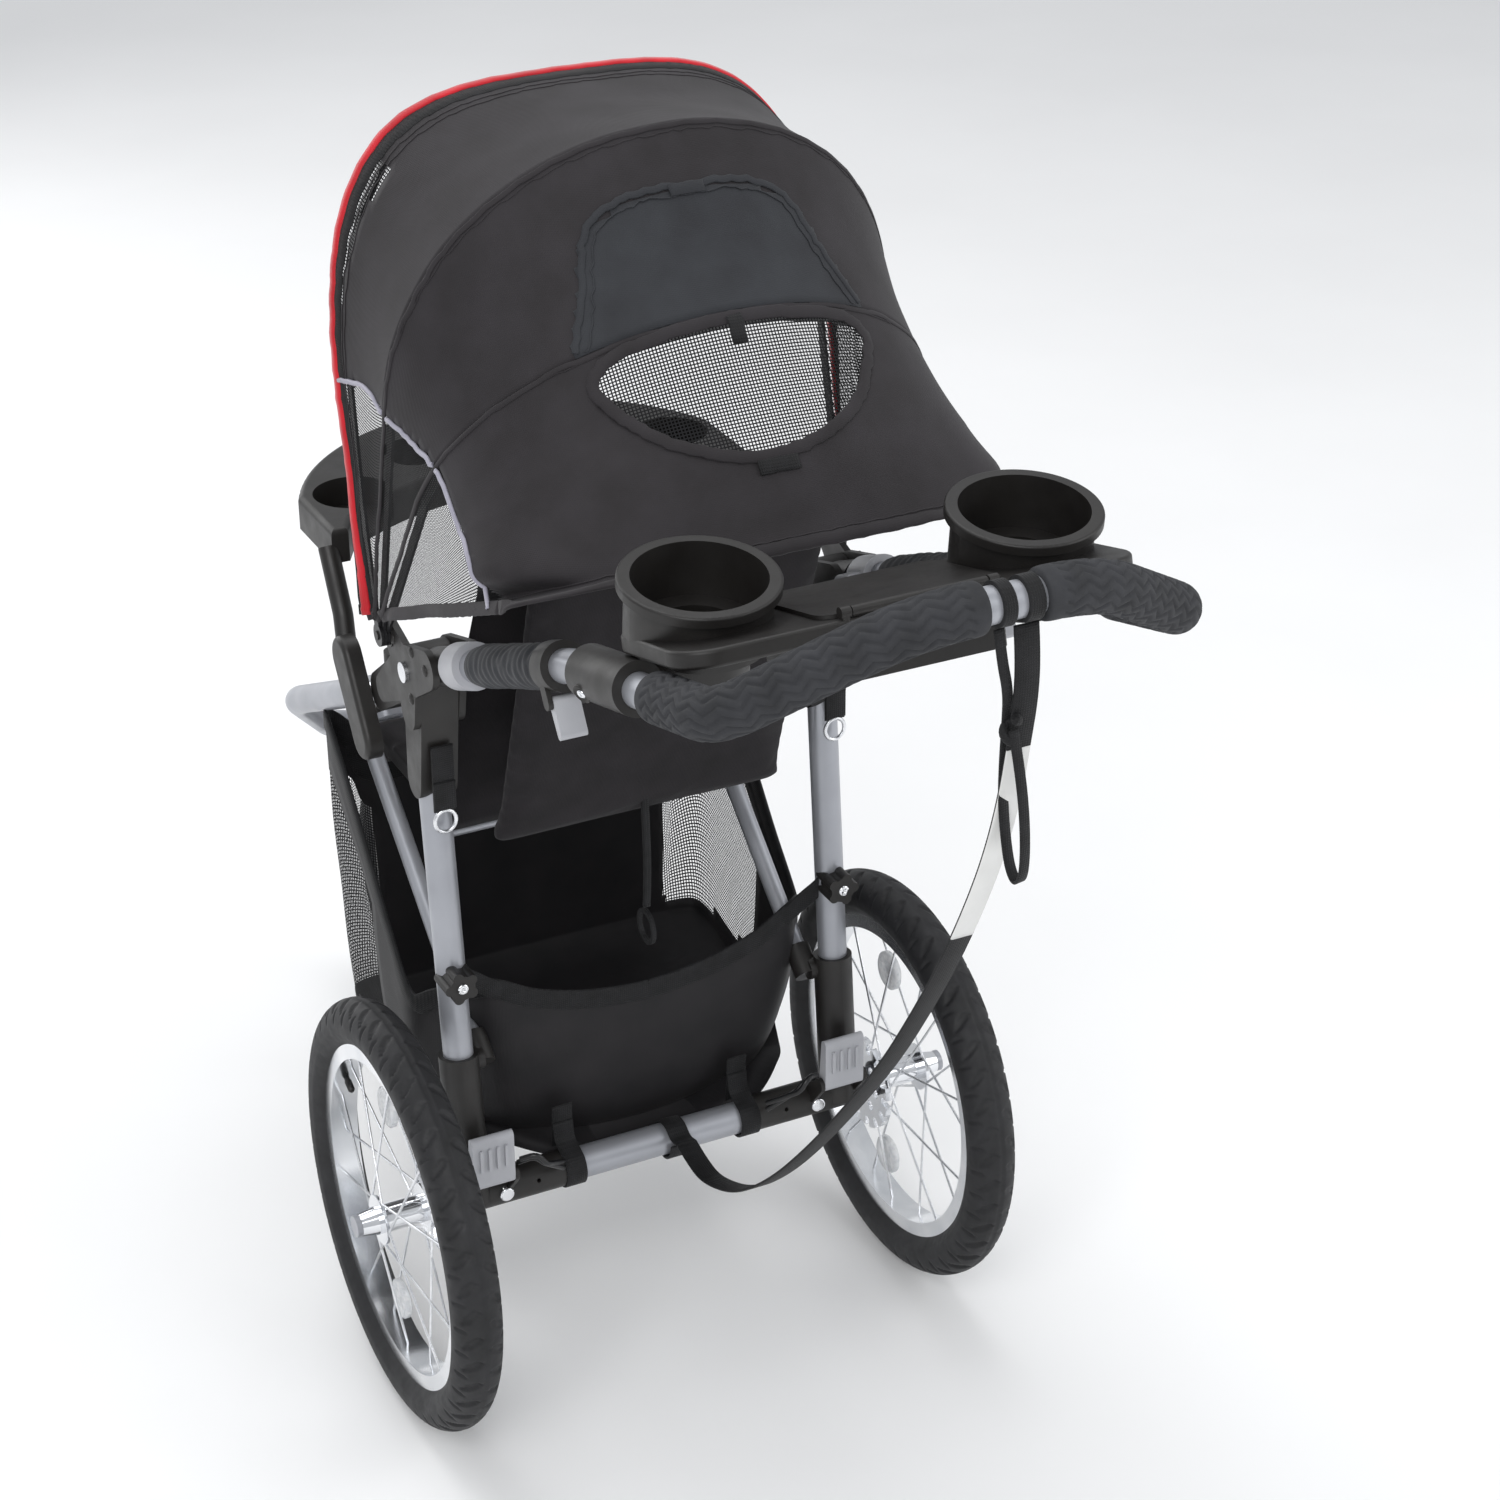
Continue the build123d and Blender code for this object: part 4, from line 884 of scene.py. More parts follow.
def make_canopy_trims():
    """Bindings, seams, stitch rows, hems and piping over the panels."""
    black, webbing = finish_of_slot["canopy_fabric"], finish_of_slot["webbing"]
    # red binding rolled round the front edge, with the channel's stitch line behind it
    tape_on("canopy_front_binding", "front", evened(front_rows[0]), FRONT_TRIM_W, 4.2,
            binding_red, LIFT_EDGE)
    tape_on("canopy_front_facing", "front", evened(front_rows[2]), 15, 1.0, webbing, LIFT_SEAM)
    for number, row in enumerate((4, 5)):
        tape_on(f"canopy_channel_stitch_{number}", "front", evened(front_rows[row]), 1.2, 0.8,
                black, LIFT_STITCH)
    # bow seams: a felled seam with a row of stitches each side
    for panel, letter in (("mid", "a"), ("rear", "b")):
        rows = panels[panel][0]
        tape_on(f"canopy_bow_seam_{letter}", panel, evened(rows[0]), 4.4, 1.5, black, LIFT_SEAM)
        tape_on(f"canopy_bow_stitch_{letter}", panel, evened(rows[1]), 1.0, 0.7, black, LIFT_STITCH)
    for name, (rows, _) in panels.items():
        for side, column in (("right", 0), ("left", COLUMNS)):
            line = evened([row[column] for row in rows])
            tape_on(f"canopy_{name}_{side}_hem", name, line, BINDING_W, 2.6, black, 0.0)
    tape_on("canopy_rear_hem", "rear", evened(rear_rows[-1]), BINDING_W, 3.0, black, 0.0)
    tape_on("canopy_rear_hem_stitch", "rear", evened(rear_rows[-5]), 1.2, 0.9, black, LIFT_STITCH)
    # piping where the side nets join, run through the panels that it crosses
    for hand, side in SIDES[::-1]:
        line = smooth_line([at(side * PIPING_X, y, z) for y, z in PIPING], 6)
        for name, (_, (_, _, high, low)) in panels.items():
            part = [point for point in line if low - 0.6 <= angle_of(point) <= high + 0.3]
            if len(part) > 2:
                tape_on(f"canopy_{name}_piping_{hand}", name, evened(part), 4.2, 3.0,
                        piping_grey, LIFT_BINDING)
    # the rear window's zigzag-stitched binding, its pull tab and the loop tape under it
    outline = WINDOW + [(-x, angle) for x, angle in WINDOW[-2:0:-1]]
    guesses = smooth_line([cover_guess(x, angle) for x, angle in outline + outline[:1]], 7)
    tape_on("window_binding", "rear", evened(guesses[:-1], 0.005), 10.0, 2.2,
            black, LIFT_BINDING, closed=True)
    tab = [cover_guess(0, angle) for angle in (54.5, 53.4, 52.3, 51.2)]
    tape_on("window_pull_tab", "rear", tab, 13, 2.4, webbing, 0.0028)
    loops = [cover_guess(x, 36.4) for x in (-17, -8, 0, 8, 17)]
    tape_on("window_loop_tape", "rear", loops, 12, 2.0, webbing, 0.0020)


# the roll-up flap over the window, doubled cloth with a twin-stitched edge
FLAP = [
    (0, 69.0), (42, 69.2), (74, 68.7), (90, 67.4), (99, 65.0), (106, 62.0), (114, 58.8), (122, 55.6),
]
FLAP_LIFT = 0.0011


def in_flap(point):
    """True under the flap's curved upper edge."""
    across, angle = abs(point.x) / MM, angle_of(point)
    for (x0, a0), (x1, a1) in zip(FLAP, FLAP[1:]):
        if x0 <= across < x1:
            return angle < a0 + (a1 - a0) * (across - x0) / (x1 - x0)
    return False


def make_flap():
    """The doubled flap above the window, with its stitched edge and gather tab."""
    rows = panels["mid"][0]
    normals = grid_normals(rows)
    outward = 1 if normals[len(normals) // 2].z > 0 else -1
    lifted = [
        [point + normals[i * len(row) + j] * outward * FLAP_LIFT for j, point in enumerate(row)]
        for i, row in enumerate(rows)
    ]
    flap = sheet_mesh(
        "window_flap", lifted, flap_cloth, 0.0010, keep=lambda i, j: in_flap(cell(rows, i, j))
    )
    blend_panel(flap, *panels["mid"][1])
    outline = [(-x, a) for x, a in FLAP[:0:-1]] + FLAP
    guesses = evened(smooth_line([cover_guess(x, a) for x, a in outline], 6), 0.005)
    tape_on("flap_edge", "mid", guesses, 6.0, 2.0, flap_cloth, 0.0016)
    inner = evened(smooth_line([cover_guess(x * 0.93, a - 0.9) for x, a in outline], 6), 0.005)
    tape_on("flap_stitch", "mid", inner, 1.2, 0.9, flap_cloth, 0.0021)
    tab = [cover_guess(x, 68.6) for x in (-16, -8, 0, 8, 16)]
    tape_on("flap_gather_tab", "mid", tab, 10, 1.8, flap_cloth, 0.0026)


make_canopy()
make_canopy_trims()
make_flap()


# ---------------------------------------------------------------- soft goods
def riding(piece, body):
    """The piece moves with a body."""
    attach(piece, body)
    return piece


def strap(name, points, width, thick, body, slot="webbing", side=Vector((1, 0, 0))):
    """A webbing strap through points given as at(x, y, z), its width lying along side."""
    line = evened(smooth_line(points, 8), 0.003)
    outline = tape_outline(width * MM, thick * MM)
    return riding(swept(name, line, outline, side, finish_of_slot[slot]), body)


def applied_mesh(piece):
    """The piece's mesh as its modifiers leave it."""
    bpy.context.view_layer.update()
    graph = bpy.context.evaluated_depsgraph_get()
    return bpy.data.meshes.new_from_object(piece.evaluated_get(graph))


PAD_CELL = 0.006
PAD_RISE = 0.006
PAD_PRESSURE = 4.0
PAD_FRAMES = 20


def swell(piece, finish):
    """Blow the pad's cloth up over its filling, no point moving further than PAD_RISE."""
    modify(piece, "REMESH", mode="VOXEL", voxel_size=PAD_CELL)
    piece.data = applied_mesh(piece)
    piece.modifiers.clear()
    scene = bpy.context.scene
    at_rest = [vertex.co.copy() for vertex in piece.data.vertices]
    cloth = piece.modifiers.new("swelling", "CLOTH")
    cloth.settings.use_pressure = True
    cloth.settings.uniform_pressure_force = PAD_PRESSURE
    cloth.settings.effector_weights.gravity = 0.0
    for number in range(1, PAD_FRAMES + 1):
        scene.frame_set(number)
    blown = applied_mesh(piece)
    piece.modifiers.clear()
    for vertex, rest, end in zip(piece.data.vertices, at_rest, blown.vertices):
        move = end.co - rest
        if move.length > PAD_RISE:
            move *= PAD_RISE / move.length
        vertex.co = rest + move
    scene.frame_set(1)
    for polygon in piece.data.polygons:
        polygon.use_smooth = True
    piece.data.materials.clear()
    piece.data.materials.append(finish)


def sewn_down(piece, depth_at):
    """Pull the pad's face in where depth_at(point) gives a stitched channel's depth in metres."""
    normals = [vertex.normal.copy() for vertex in piece.data.vertices]
    for vertex, normal in zip(piece.data.vertices, normals):
        vertex.co -= normal * depth_at(vertex.co)
    modify(piece, "SUBSURF", levels=1, render_levels=1)


def prism(name, outline, low, high, finish):
    """A closed solid from a (y, z) outline in millimetres, from one x to another."""
    bm = bmesh.new()
    ends = [[bm.verts.new(at(x, y, z)) for y, z in outline] for x in (low, high)]
    count = len(outline)
    bm.faces.new(ends[0][::-1])
    bm.faces.new(ends[1])
    for i in range(count):
        j = (i + 1) % count
        bm.faces.new((ends[0][i], ends[0][j], ends[1][j], ends[1][i]))
    return finish_mesh(name, bm, finish)


BACK_LEAN = math.radians(19)
BACK_FOOT = (-108.0, 512.0)


def on_back(x, up, out):
    """A place on the seat back: across, up it and out behind it, in millimetres."""
    y = BACK_FOOT[0] + up * math.sin(BACK_LEAN) + out * math.cos(BACK_LEAN)
    return at(x, y, BACK_FOOT[1] + up * math.cos(BACK_LEAN) - out * math.sin(BACK_LEAN))


def back_place(point):
    """How far across and up the seat back a place is, in millimetres."""
    y, z = point.y / MM - AXLE_Y - BACK_FOOT[0], point.z / MM - BACK_FOOT[1]
    return point.x / MM, y * math.sin(BACK_LEAN) + z * math.cos(BACK_LEAN)


CHANNEL_W = 5.0


def groove(distance, depth):
    """How deep a stitched channel is at a distance from its middle; millimetres in, metres out."""
    return depth * MM * math.exp(-((distance / CHANNEL_W) ** 2))


# the seat pad's side view, (y, z), and where channels are sewn across it
SEAT_OUTLINE = [
    (-140, 497), (-138, 523), (-240, 518), (-338, 513), (-344, 505), (-340, 494), (-300, 492),
]
SEAT_HALF_W = 144
SEAT_CHANNELS = (-74, 74)
# the back pad: half width, thickness and height, and its channels
BACK_HALF_W = 141
BACK_CORNERS = [(-9, 22), (-9, 363), (5, 363), (5, 22)]
BACK_SIDE_CHANNEL = 92
BACK_CROSS_CHANNELS = (250, 132)
# the cloth panel stretched behind the back: where it starts and how tall it is
PANEL_FROM = 14
PANEL_TALL = 355
PANEL_ROWS = 36
PANEL_COLUMNS = 30
SHOULDER_STRAP_X = 62
HARNESS_W = 25


def make_seat():
    """Seat pad, back pad with its rear panel and piping, and the shoulder straps."""
    cloth = finish_of_slot["seat_fabric"]
    # seat pad: foam in quilted polyester, two channels sewn from front to back
    pad = prism("seat_cushion", SEAT_OUTLINE, -SEAT_HALF_W, SEAT_HALF_W, cloth)
    swell(pad, cloth)
    sewn_down(
        pad,
        lambda p: sum(groove(p.x / MM - x, 2.2) for x in SEAT_CHANNELS) if p.z > 0.5 else 0.0,
    )
    riding(pad, "chassis")
    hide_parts("seat_pad")

    # backrest: padded face, and a flat cloth panel stretched behind it
    places = [on_back(0, up, out) for out, up in BACK_CORNERS]
    back_outline = [((place.y / MM) - AXLE_Y, place.z / MM) for place in places]
    back = prism("backrest_cushion", back_outline, -BACK_HALF_W, BACK_HALF_W, cloth)
    modify(back, "BEVEL", width=0.012, segments=3)
    swell(back, cloth)

    def channels(point):
        x, up = back_place(point)
        if point.y >= on_back(0, up, -2).y:
            return 0.0
        crossing = [groove(up - height, 1.8) for height in BACK_CROSS_CHANNELS]
        return groove(abs(x) - BACK_SIDE_CHANNEL, 1.8) + crossing[0] + crossing[1]

    sewn_down(back, channels)
    riding(back, "seat_back")
    rows = []
    for i in range(PANEL_ROWS + 1):
        up = PANEL_FROM + PANEL_TALL * i / PANEL_ROWS
        # the panel widens below the shoulder bend and again at the hips
        shoulder = min(1.0, max(0.0, (320 - up) / 120))
        hip = min(1.0, max(0.0, (130 - up) / 50))
        half = 150 + 8 * shoulder + 12 * hip
        row = []
        for j in range(PANEL_COLUMNS + 1):
            x = half * (j / (PANEL_COLUMNS / 2) - 1)
            edge = min(1.0, (half - abs(x)) / 26)
            slack = 1.6 * noise.noise(Vector((x * 0.013, up * 0.02, 3.1)))
            row.append(on_back(x, up, 7.6 + 3.0 * edge * (2 - edge) + slack * edge))
        rows.append(row)
    panel = sheet_mesh("backrest_rear_panel", rows, cloth, 0.0012)
    riding(panel, "seat_back")
    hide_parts("seat_back")
    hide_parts("seat_back")
    corners = ((-148, 16), (-148, 367), (148, 367), (148, 16), (-148, 16))
    rim_line = [on_back(x, up, 7.0) for x, up in corners]
    corner_cut = []
    for a, b in zip(rim_line, rim_line[1:]):
        corner_cut += [a.lerp(b, 0.04), a.lerp(b, 0.5), a.lerp(b, 0.96)]
    line = evened(smooth_line(corner_cut, 10), 0.004)
    piping = swept("backrest_piping", line, oval(0.005, 0.005, 10), Vector((0, 1, 0)), cloth)
    riding(piping, "seat_back")

    # shoulder straps: webbing on sewn pads, each through a slide adjuster
    for name, side in SIDES:
        x = side * SHOULDER_STRAP_X
        line = [on_back(x, up, -13.5 - out)
                for up, out in ((82, 0), (140, 2), (200, 3), (270, 2), (330, 0))]
        strap(f"{name}_shoulder_webbing", line, HARNESS_W, 2.0, "seat_back")
        pad_line = [on_back(x, up, -14.2 - out)
                    for up, out in ((160, 2), (210, 4), (255, 3.4), (300, 1.6))]
        strap(f"{name}_shoulder_pad", pad_line, 36, 4.5, "seat_back", "seat_fabric")
        slide = rounded_block(f"{name}_slide_adjuster", on_back(x, 128, -17), (32, 6, 24), 2.2,
                              finish_of_slot["black_plastic"])
        riding(slide, "seat_back")


def make_harness():
    """Lap and crotch webbing that meet in a buckle on the seat pad."""
    black = finish_of_slot["black_plastic"]
    for name, side in SIDES:
        line = [
            at(side * x, y, z)
            for x, y, z in ((126, -152, 527), (100, -168, 532), (60, -186, 533.5), (20, -190, 534))
        ]
        strap(f"{name}_lap_webbing", line, HARNESS_W, 2.0, "chassis", side=Vector((0, 1, 0)))
    line = [at(0, -276, 524), at(0, -246, 528), at(0, -212, 532)]
    strap("crotch_webbing", line, HARNESS_W, 2.0, "chassis")
    shell = rounded_block("harness_buckle", at(0, -190, 535.5), (50, 54, 14), 5.5, black)
    riding(shell, "chassis")
    collar = turned("buckle_collar", [(0, 12), (0, 15), (3.0, 14.2), (3.0, 12)],
                    at(0, -190, 541.5), Vector((0, 0, 1)), black)
    riding(collar, "chassis")
    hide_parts("lap_harness")


# basket plan: x, y, hem height, floor height, and how far the floor draws in
BASKET = [
    (0, -15, 357, 201, 0.80), (60, -15.5, 363, 203, 0.79), (112, -17, 378, 208, 0.77),
    (148, -22, 396, 214, 0.78), (166, -44, 386, 218, 0.82), (184, -74, 366, 222, 0.86),
    (196, -104, 352, 226, 0.90), (197, -150, 396, 229, 0.92), (197, -200, 456, 232, 0.93),
    (197, -246, 511, 235, 0.94), (196, -282, 545, 238, 0.95), (190, -306, 545, 240, 0.95),
    (168, -313, 520, 241, 0.95), (150, -314, 476, 242, 0.95), (80, -316, 471, 242, 0.95),
    (0, -317, 469, 242, 0.95),
]
BASKET_MIDDLE_Y = -165
BASKET_STEPS = 5
BASKET_LEVELS = 22
FLOOR_LEVELS = 8
FLOOR_SAG = 7
# the net in each side: how far across it starts, its ends, its lower edge and its first level
NET_FROM_X = 150
NET_Y = (-290, -112)
NET_LOW_Z = 262
NET_FIRST_LEVEL = 3


def basket_rows():
    """Rows of points round the basket from the hem down the wall, then in across the floor."""
    right = [(-x, y, hem, floor, draw) for x, y, hem, floor, draw in BASKET[-2:0:-1]]
    around = []
    loop = BASKET + right
    for k in range(len(loop)):
        a, b, c, d = (loop[(k + n) % len(loop)] for n in (-1, 0, 1, 2))
        for step in range(BASKET_STEPS):
            t = step / BASKET_STEPS
            around.append([
                q + 0.5 * t * (r - p + t * (2 * p - 5 * q + 4 * r - s + t * (3 * (q - r) + s - p)))
                for p, q, r, s in zip(a, b, c, d)
            ])
    rows = []
    for level in range(BASKET_LEVELS + 1):
        t = level / BASKET_LEVELS
        row = []
        for x, y, hem, floor, draw in around:
            inward = 1 - (1 - draw) * t ** 1.7
            z = hem + (floor - hem) * (1 - (1 - t) ** 1.25)
            drift = noise.noise(Vector((x * 0.017, y * 0.02, z * 0.012)))
            droop = 2.4 * math.sin(math.pi * t) * drift
            middle = Vector((0, BASKET_MIDDLE_Y))
            out = (Vector((x, y)) - middle) * inward
            out += out.normalized() * droop
            row.append(at(out.x, middle.y + out.y, z))
        rows.append(row)
    for level in range(1, FLOOR_LEVELS + 1):
        t = level / FLOOR_LEVELS
        inward = 1 - 0.97 * t
        sag = FLOOR_SAG * math.sin(math.pi * t / 2)
        row = []
        for point in rows[BASKET_LEVELS]:
            x, y, z = point.x / MM, point.y / MM - AXLE_Y, point.z / MM
            row.append(at(x * inward, BASKET_MIDDLE_Y + (y - BASKET_MIDDLE_Y) * inward, z - sag))
        rows.append(row)
    return rows


def in_basket_net(point, level):
    """True where the basket's side is net, below the cloth band under the hem."""
    x, y, z = abs(point.x) / MM, point.y / MM - AXLE_Y, point.z / MM
    return x >= NET_FROM_X and NET_Y[0] < y < NET_Y[1] and z > NET_LOW_Z and level >= NET_FIRST_LEVEL


# the webbing loop that holds the basket to the axle: (y, z), round the tube and up the back
AXLE_LOOP = (
    (-13.5, 258), (-15, 236), (-17.6, 214), (-17.8, 200), (-12.8, 187.2), (0, 181.8),
    (12.8, 187.2), (18.0, 200), (12.8, 212.8), (0, 218.2), (-10, 224), (-13.2, 240),
)
CORNER_TAB = ((183, -14.5, 424), (170, -15.5, 414), (156, -18.5, 402), (140, -19, 391))


def make_basket():
    """The basket's cloth, side nets and webbing hem, with its tabs and axle loops."""
    rows = basket_rows()
    cloth = sheet_mesh("basket_cloth_body", rows, basket_cloth, 0.0012, around=True,
                       keep=lambda i, j: not in_basket_net(rows[i][j], i))
    net = sheet_mesh("basket_side_net", rows, net_cloth, 0.0, around=True,
                     keep=lambda i, j: in_basket_net(rows[i][j], i))
    line = evened(rows[0] + rows[0][:1], 0.005)[:-1]
    hem = swept("basket_webbing_hem", line, tape_outline(0.019, 0.0036), Vector((0, 0, 1)),
                finish_of_slot["webbing"], closed=True)
    for piece in (cloth, net, hem):
        riding(piece, "chassis")
    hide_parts("basket")
    for name, side in SIDES:
        tab = [at(side * x, y, z) for x, y, z in CORNER_TAB]
        strap(f"{name}_basket_corner_tab", tab, 17, 2.4, "chassis", side=Vector((0, 0, 1)))
        loop = [at(side * 89, y, z) for y, z in AXLE_LOOP]
        strap(f"{name}_basket_axle_loop", loop, 20, 1.6, "chassis")


HINGE = (-26.0, 722.0)
HANDLE_ALONG = (0.9149, 0.4036)
FRAME_X = 188.0
SLEEVE_FROM = 131.5
SLEEVE_LONG = 158
SLEEVE_ROWS = 80
SLEEVE_COLUMNS = 48


def down_handle(x, along, out=0.0):
    """A place on a handle side tube, its distance up it from the hinge."""
    return at(x, HINGE[0] + HANDLE_ALONG[0] * along - HANDLE_ALONG[1] * out,
              HINGE[1] + HANDLE_ALONG[1] * along + HANDLE_ALONG[0] * out)


def make_sleeves():
    """Cloth sleeves gathered on the side tubes between the lock slide and the lever collar."""
    for name, side in SIDES:
        rows = []
        for i in range(SLEEVE_ROWS + 1):
            along = SLEEVE_FROM + SLEEVE_LONG * i / SLEEVE_ROWS
            ends = min(1.0, (along - 130) / 14, (291 - along) / 14)
            row = []
            for j in range(SLEEVE_COLUMNS):
                angle = math.tau * j / SLEEVE_COLUMNS
                ruck = noise.noise(
                    Vector((along * 0.16, math.cos(angle) * 1.3, math.sin(angle) * 1.3 + side))
                )
                gather = 0.7 * math.sin(along * 0.55 + 2.2 * math.sin(angle) + side)
                radius = 15.4 + ends * (1.7 + 1.1 * ruck + 0.6 * gather)
                middle = down_handle(side * FRAME_X, along, radius * math.sin(angle))
                row.append(middle + Vector((radius * MM * math.cos(angle), 0, 0)))
            rows.append(row)
        sleeve = sheet_mesh(f"{name}_tube_sleeve", rows, flap_cloth, 0.001, around=True)
        riding(sleeve, "handle")
        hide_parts("tube_sleeves")


make_seat()
make_harness()
make_basket()
make_sleeves()


# ---------------------------------------------------------------- grips
GRIP_STEP = 1.5


def rounded_run(points, radii):
    """A bent bar's middle line: straight runs with round corners, evenly stepped."""
    line = [points[0]]
    for before, corner, after, radius in zip(points, points[1:], points[2:], radii):
        back, ahead = (before - corner).normalized(), (after - corner).normalized()
        half = back.angle(ahead) / 2
        reach = radius * MM / math.tan(half)
        middle = corner + (back + ahead).normalized() * (radius * MM / math.sin(half))
        start, end = corner + back * reach - middle, corner + ahead * reach - middle
        for step in range(17):
            line.append(middle + start.lerp(end, step / 16).normalized() * radius * MM)
    line.append(points[-1])
    return evened(line, GRIP_STEP * MM)


# the handle bar's corners, the bend radius at each, and where the grips start and stop on it
BEND = at(188, 280, 857)
CORNER = at(188, 522, 924)
SHOULDER = at(70, 588, 999)
BAR_RADII = (45, 120)
GRIP_BEFORE_CORNER = 0.096
GRIP_STOP_X = 22.4
# the ribs: how many, how long one zigzag is, how far it swings and how deep the grooves are
GRIP_R = 19.4
GRIP_RIBS = 14
ZIGZAG_LONG = 21.0
ZIGZAG_SWING = 0.40
RIB_DEPTH = 1.5
GRIP_SIDES = 112


def make_grips():
    """Moulded rubber grips, zigzag ribs running along them."""
    start = CORNER + (BEND - CORNER).normalized() * GRIP_BEFORE_CORNER
    middle = Vector((0, SHOULDER.y, SHOULDER.z))
    whole = rounded_run([start, CORNER, SHOULDER, middle], BAR_RADII)
    whole = [point for point in whole if point.x > GRIP_STOP_X * MM]
    for name, side in SIDES:
        line = [Vector((side * point.x, point.y, point.z)) for point in whole]
        ways = frames_along(line, Vector((0, 0, 1)))
        bm = bmesh.new()
        rings = []
        for i, (point, (_, across, out)) in enumerate(zip(line, ways)):
            wave = abs((i * GRIP_STEP / ZIGZAG_LONG) % 1.0 - 0.5) * 4 - 1
            end = min(i, len(whole) - 1 - i)
            shape = 1.0 if end > 5 else (0.93 + 0.07 * math.sqrt(1 - (1 - end / 5) ** 2))
            ring = []
            for j in range(GRIP_SIDES):
                angle = math.tau * j / GRIP_SIDES
                rib = (angle * GRIP_RIBS / math.tau + ZIGZAG_SWING * wave) % 1.0
                cut = max(0.0, 1 - abs(rib - 0.5) / 0.24) if 7 < end else 0.0
                radius = (GRIP_R * shape - RIB_DEPTH * min(1.0, cut * 1.3)) * MM
                way = across * math.cos(angle) + out * math.sin(angle)
                ring.append(bm.verts.new(point + way * radius))
            rings.append(ring)
        skin(bm, rings)
        grip = finish_mesh(f"{name}_ribbed_grip", bm, finish_of_slot["grip_rubber"])
        riding(grip, "handle")
        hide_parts("grips")


# ---------------------------------------------------------------- tyres and wheel fittings
CROWN_GROOVE = 1.1
TEARDROP_CUT = 1.9
SHOULDER_CUT = 1.4
BEAD_RISE = 0.5
TYRE_R = 22.2
TYRE_INSET = 22.4
PITCH_STEPS = 16
TYRE_SIDES = 60


def tread_depth(turn, across):
    """How deep the tread is cut in mm; turn counts pitches, across is degrees off the crown."""
    left = across > 0
    lean = abs(across)
    if lean < 3.5:
        return CROWN_GROOVE
    place = (turn + (0.5 if left else 0.0) + 0.42 * (lean / 50) ** 1.5) % 1.0 - 0.5
    if 9 < lean < 56 and abs(place) < 0.17 * math.sin(math.pi * (lean - 9) / 47) ** 0.8:
        return TEARDROP_CUT
    place = (turn + (0.0 if left else 0.5) + 0.3) % 1.0 - 0.5
    if 46 < lean < 80 and abs(place) < 0.075 * math.sin(math.pi * (lean - 46) / 34):
        return SHOULDER_CUT
    return 0.0


def make_tyre(name, x, y, radius, pitches):
    """An air tyre: curved teardrop cuts either side of a centre groove, and a bead line."""
    steps = pitches * PITCH_STEPS
    middle_r = radius - TYRE_INSET
    bm = bmesh.new()
    rings = []
    for step in range(steps):
        turn = math.tau * step / steps
        ring = []
        for j in range(TYRE_SIDES):
            around = math.tau * j / TYRE_SIDES
            degrees = math.degrees(around if around <= math.pi else around - math.tau)
            depth = tread_depth(step / PITCH_STEPS, degrees) if abs(degrees) < 84 else 0.0
            if 104 < abs(degrees) < 112:
                depth = -BEAD_RISE
            size = TYRE_R - depth
            out = middle_r + size * math.cos(around)
            across = size * math.sin(around)
            place = at(x + across, y + out * math.cos(turn), radius + out * math.sin(turn))
            ring.append(bm.verts.new(place))
        rings.append(ring)
    skin(bm, rings, around=True)
    tyre = finish_mesh(f"{name}_tread_tyre", bm, finish_of_slot["tyre"])
    riding(tyre, f"{name}_wheel")
    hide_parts(f"{name}_tyre")


# each wheel: its name, where it stands across and along, its radius and its tread pitches
WHEELS = (("left", 254, 0, 200, 46), ("right", -254, 0, 200, 46), ("front", 0, -600, 152, 35))
RIM_DEPTH = 40
VALVE_ANGLE = 152
VALVE = [
    (-2, 0.1), (-2, 4.2), (3, 4.0), (5, 2.6), (17, 2.6), (17, 3.4), (27, 3.2), (29, 1.6), (29, 0.1),
]
REFLECTOR_ANGLES = (100, 262)
REFLECTOR = [
    (-3.6, 0.2), (-3.6, 17), (-2.2, 19), (2.2, 19), (3.6, 17), (2.6, 13.5),
    (3.6, 12.5), (2.6, 9), (3.6, 8), (2.6, 4), (3.6, 3), (3.2, 0.2),
]


def make_wheels():
    """Tyres, valves and reflectors on the three wheels."""
    for name, x, y, radius, pitches in WHEELS:
        make_tyre(name, x, y, radius, pitches)
    for name, x, y, radius, _ in WHEELS:
        body, rim = f"{name}_wheel", radius - RIM_DEPTH
        # black valve stem and cap, standing in from the rim
        turn = math.radians(VALVE_ANGLE)
        inward = Vector((0, -math.cos(turn), -math.sin(turn)))
        foot = at(x, y - inward.y * rim, radius - inward.z * rim)
        stem = turned(f"{name}_valve", VALVE, foot, inward, finish_of_slot["black_plastic"], 20)
        riding(stem, body)
        # clear round reflector held between two spokes
        for number, angle in enumerate(REFLECTOR_ANGLES):
            turn = math.radians(angle)
            reach = rim * 0.66
            middle = at(x, y + math.cos(turn) * reach, radius + math.sin(turn) * reach)
            outward = Vector((1 if x >= 0 else -1, 0, 0))
            disc = turned(f"{name}_reflector_{number}", REFLECTOR, middle, outward, acrylic, 32)
            riding(disc, body)


# ---------------------------------------------------------------- small hardware
def rivet(name, centre, axis, radius, height, body):
    """A domed rivet head with a rolled edge."""
    profile = [
        (-1.0, 0.1), (-1.0, radius), (0.3, radius),
        (height * 0.7, radius * 0.72), (height, radius * 0.3), (height, 0.05),
    ]
    head = turned(name, profile, centre, axis, finish_of_slot["black_plastic"], 24)
    riding(head, body)


SCREW_SIDES = 32
# rings of a screw head: share of its radius, height in mm, and 1 where the recess cuts in
SCREW_RINGS = (
    (1.0, -0.8, 0), (1.0, 0.9, 0), (0.86, 1.7, 0), (0.60, 2.0, 0),
    (0.56, 2.0, 1), (0.40, 0.9, 1), (0.05, 0.7, 0),
)


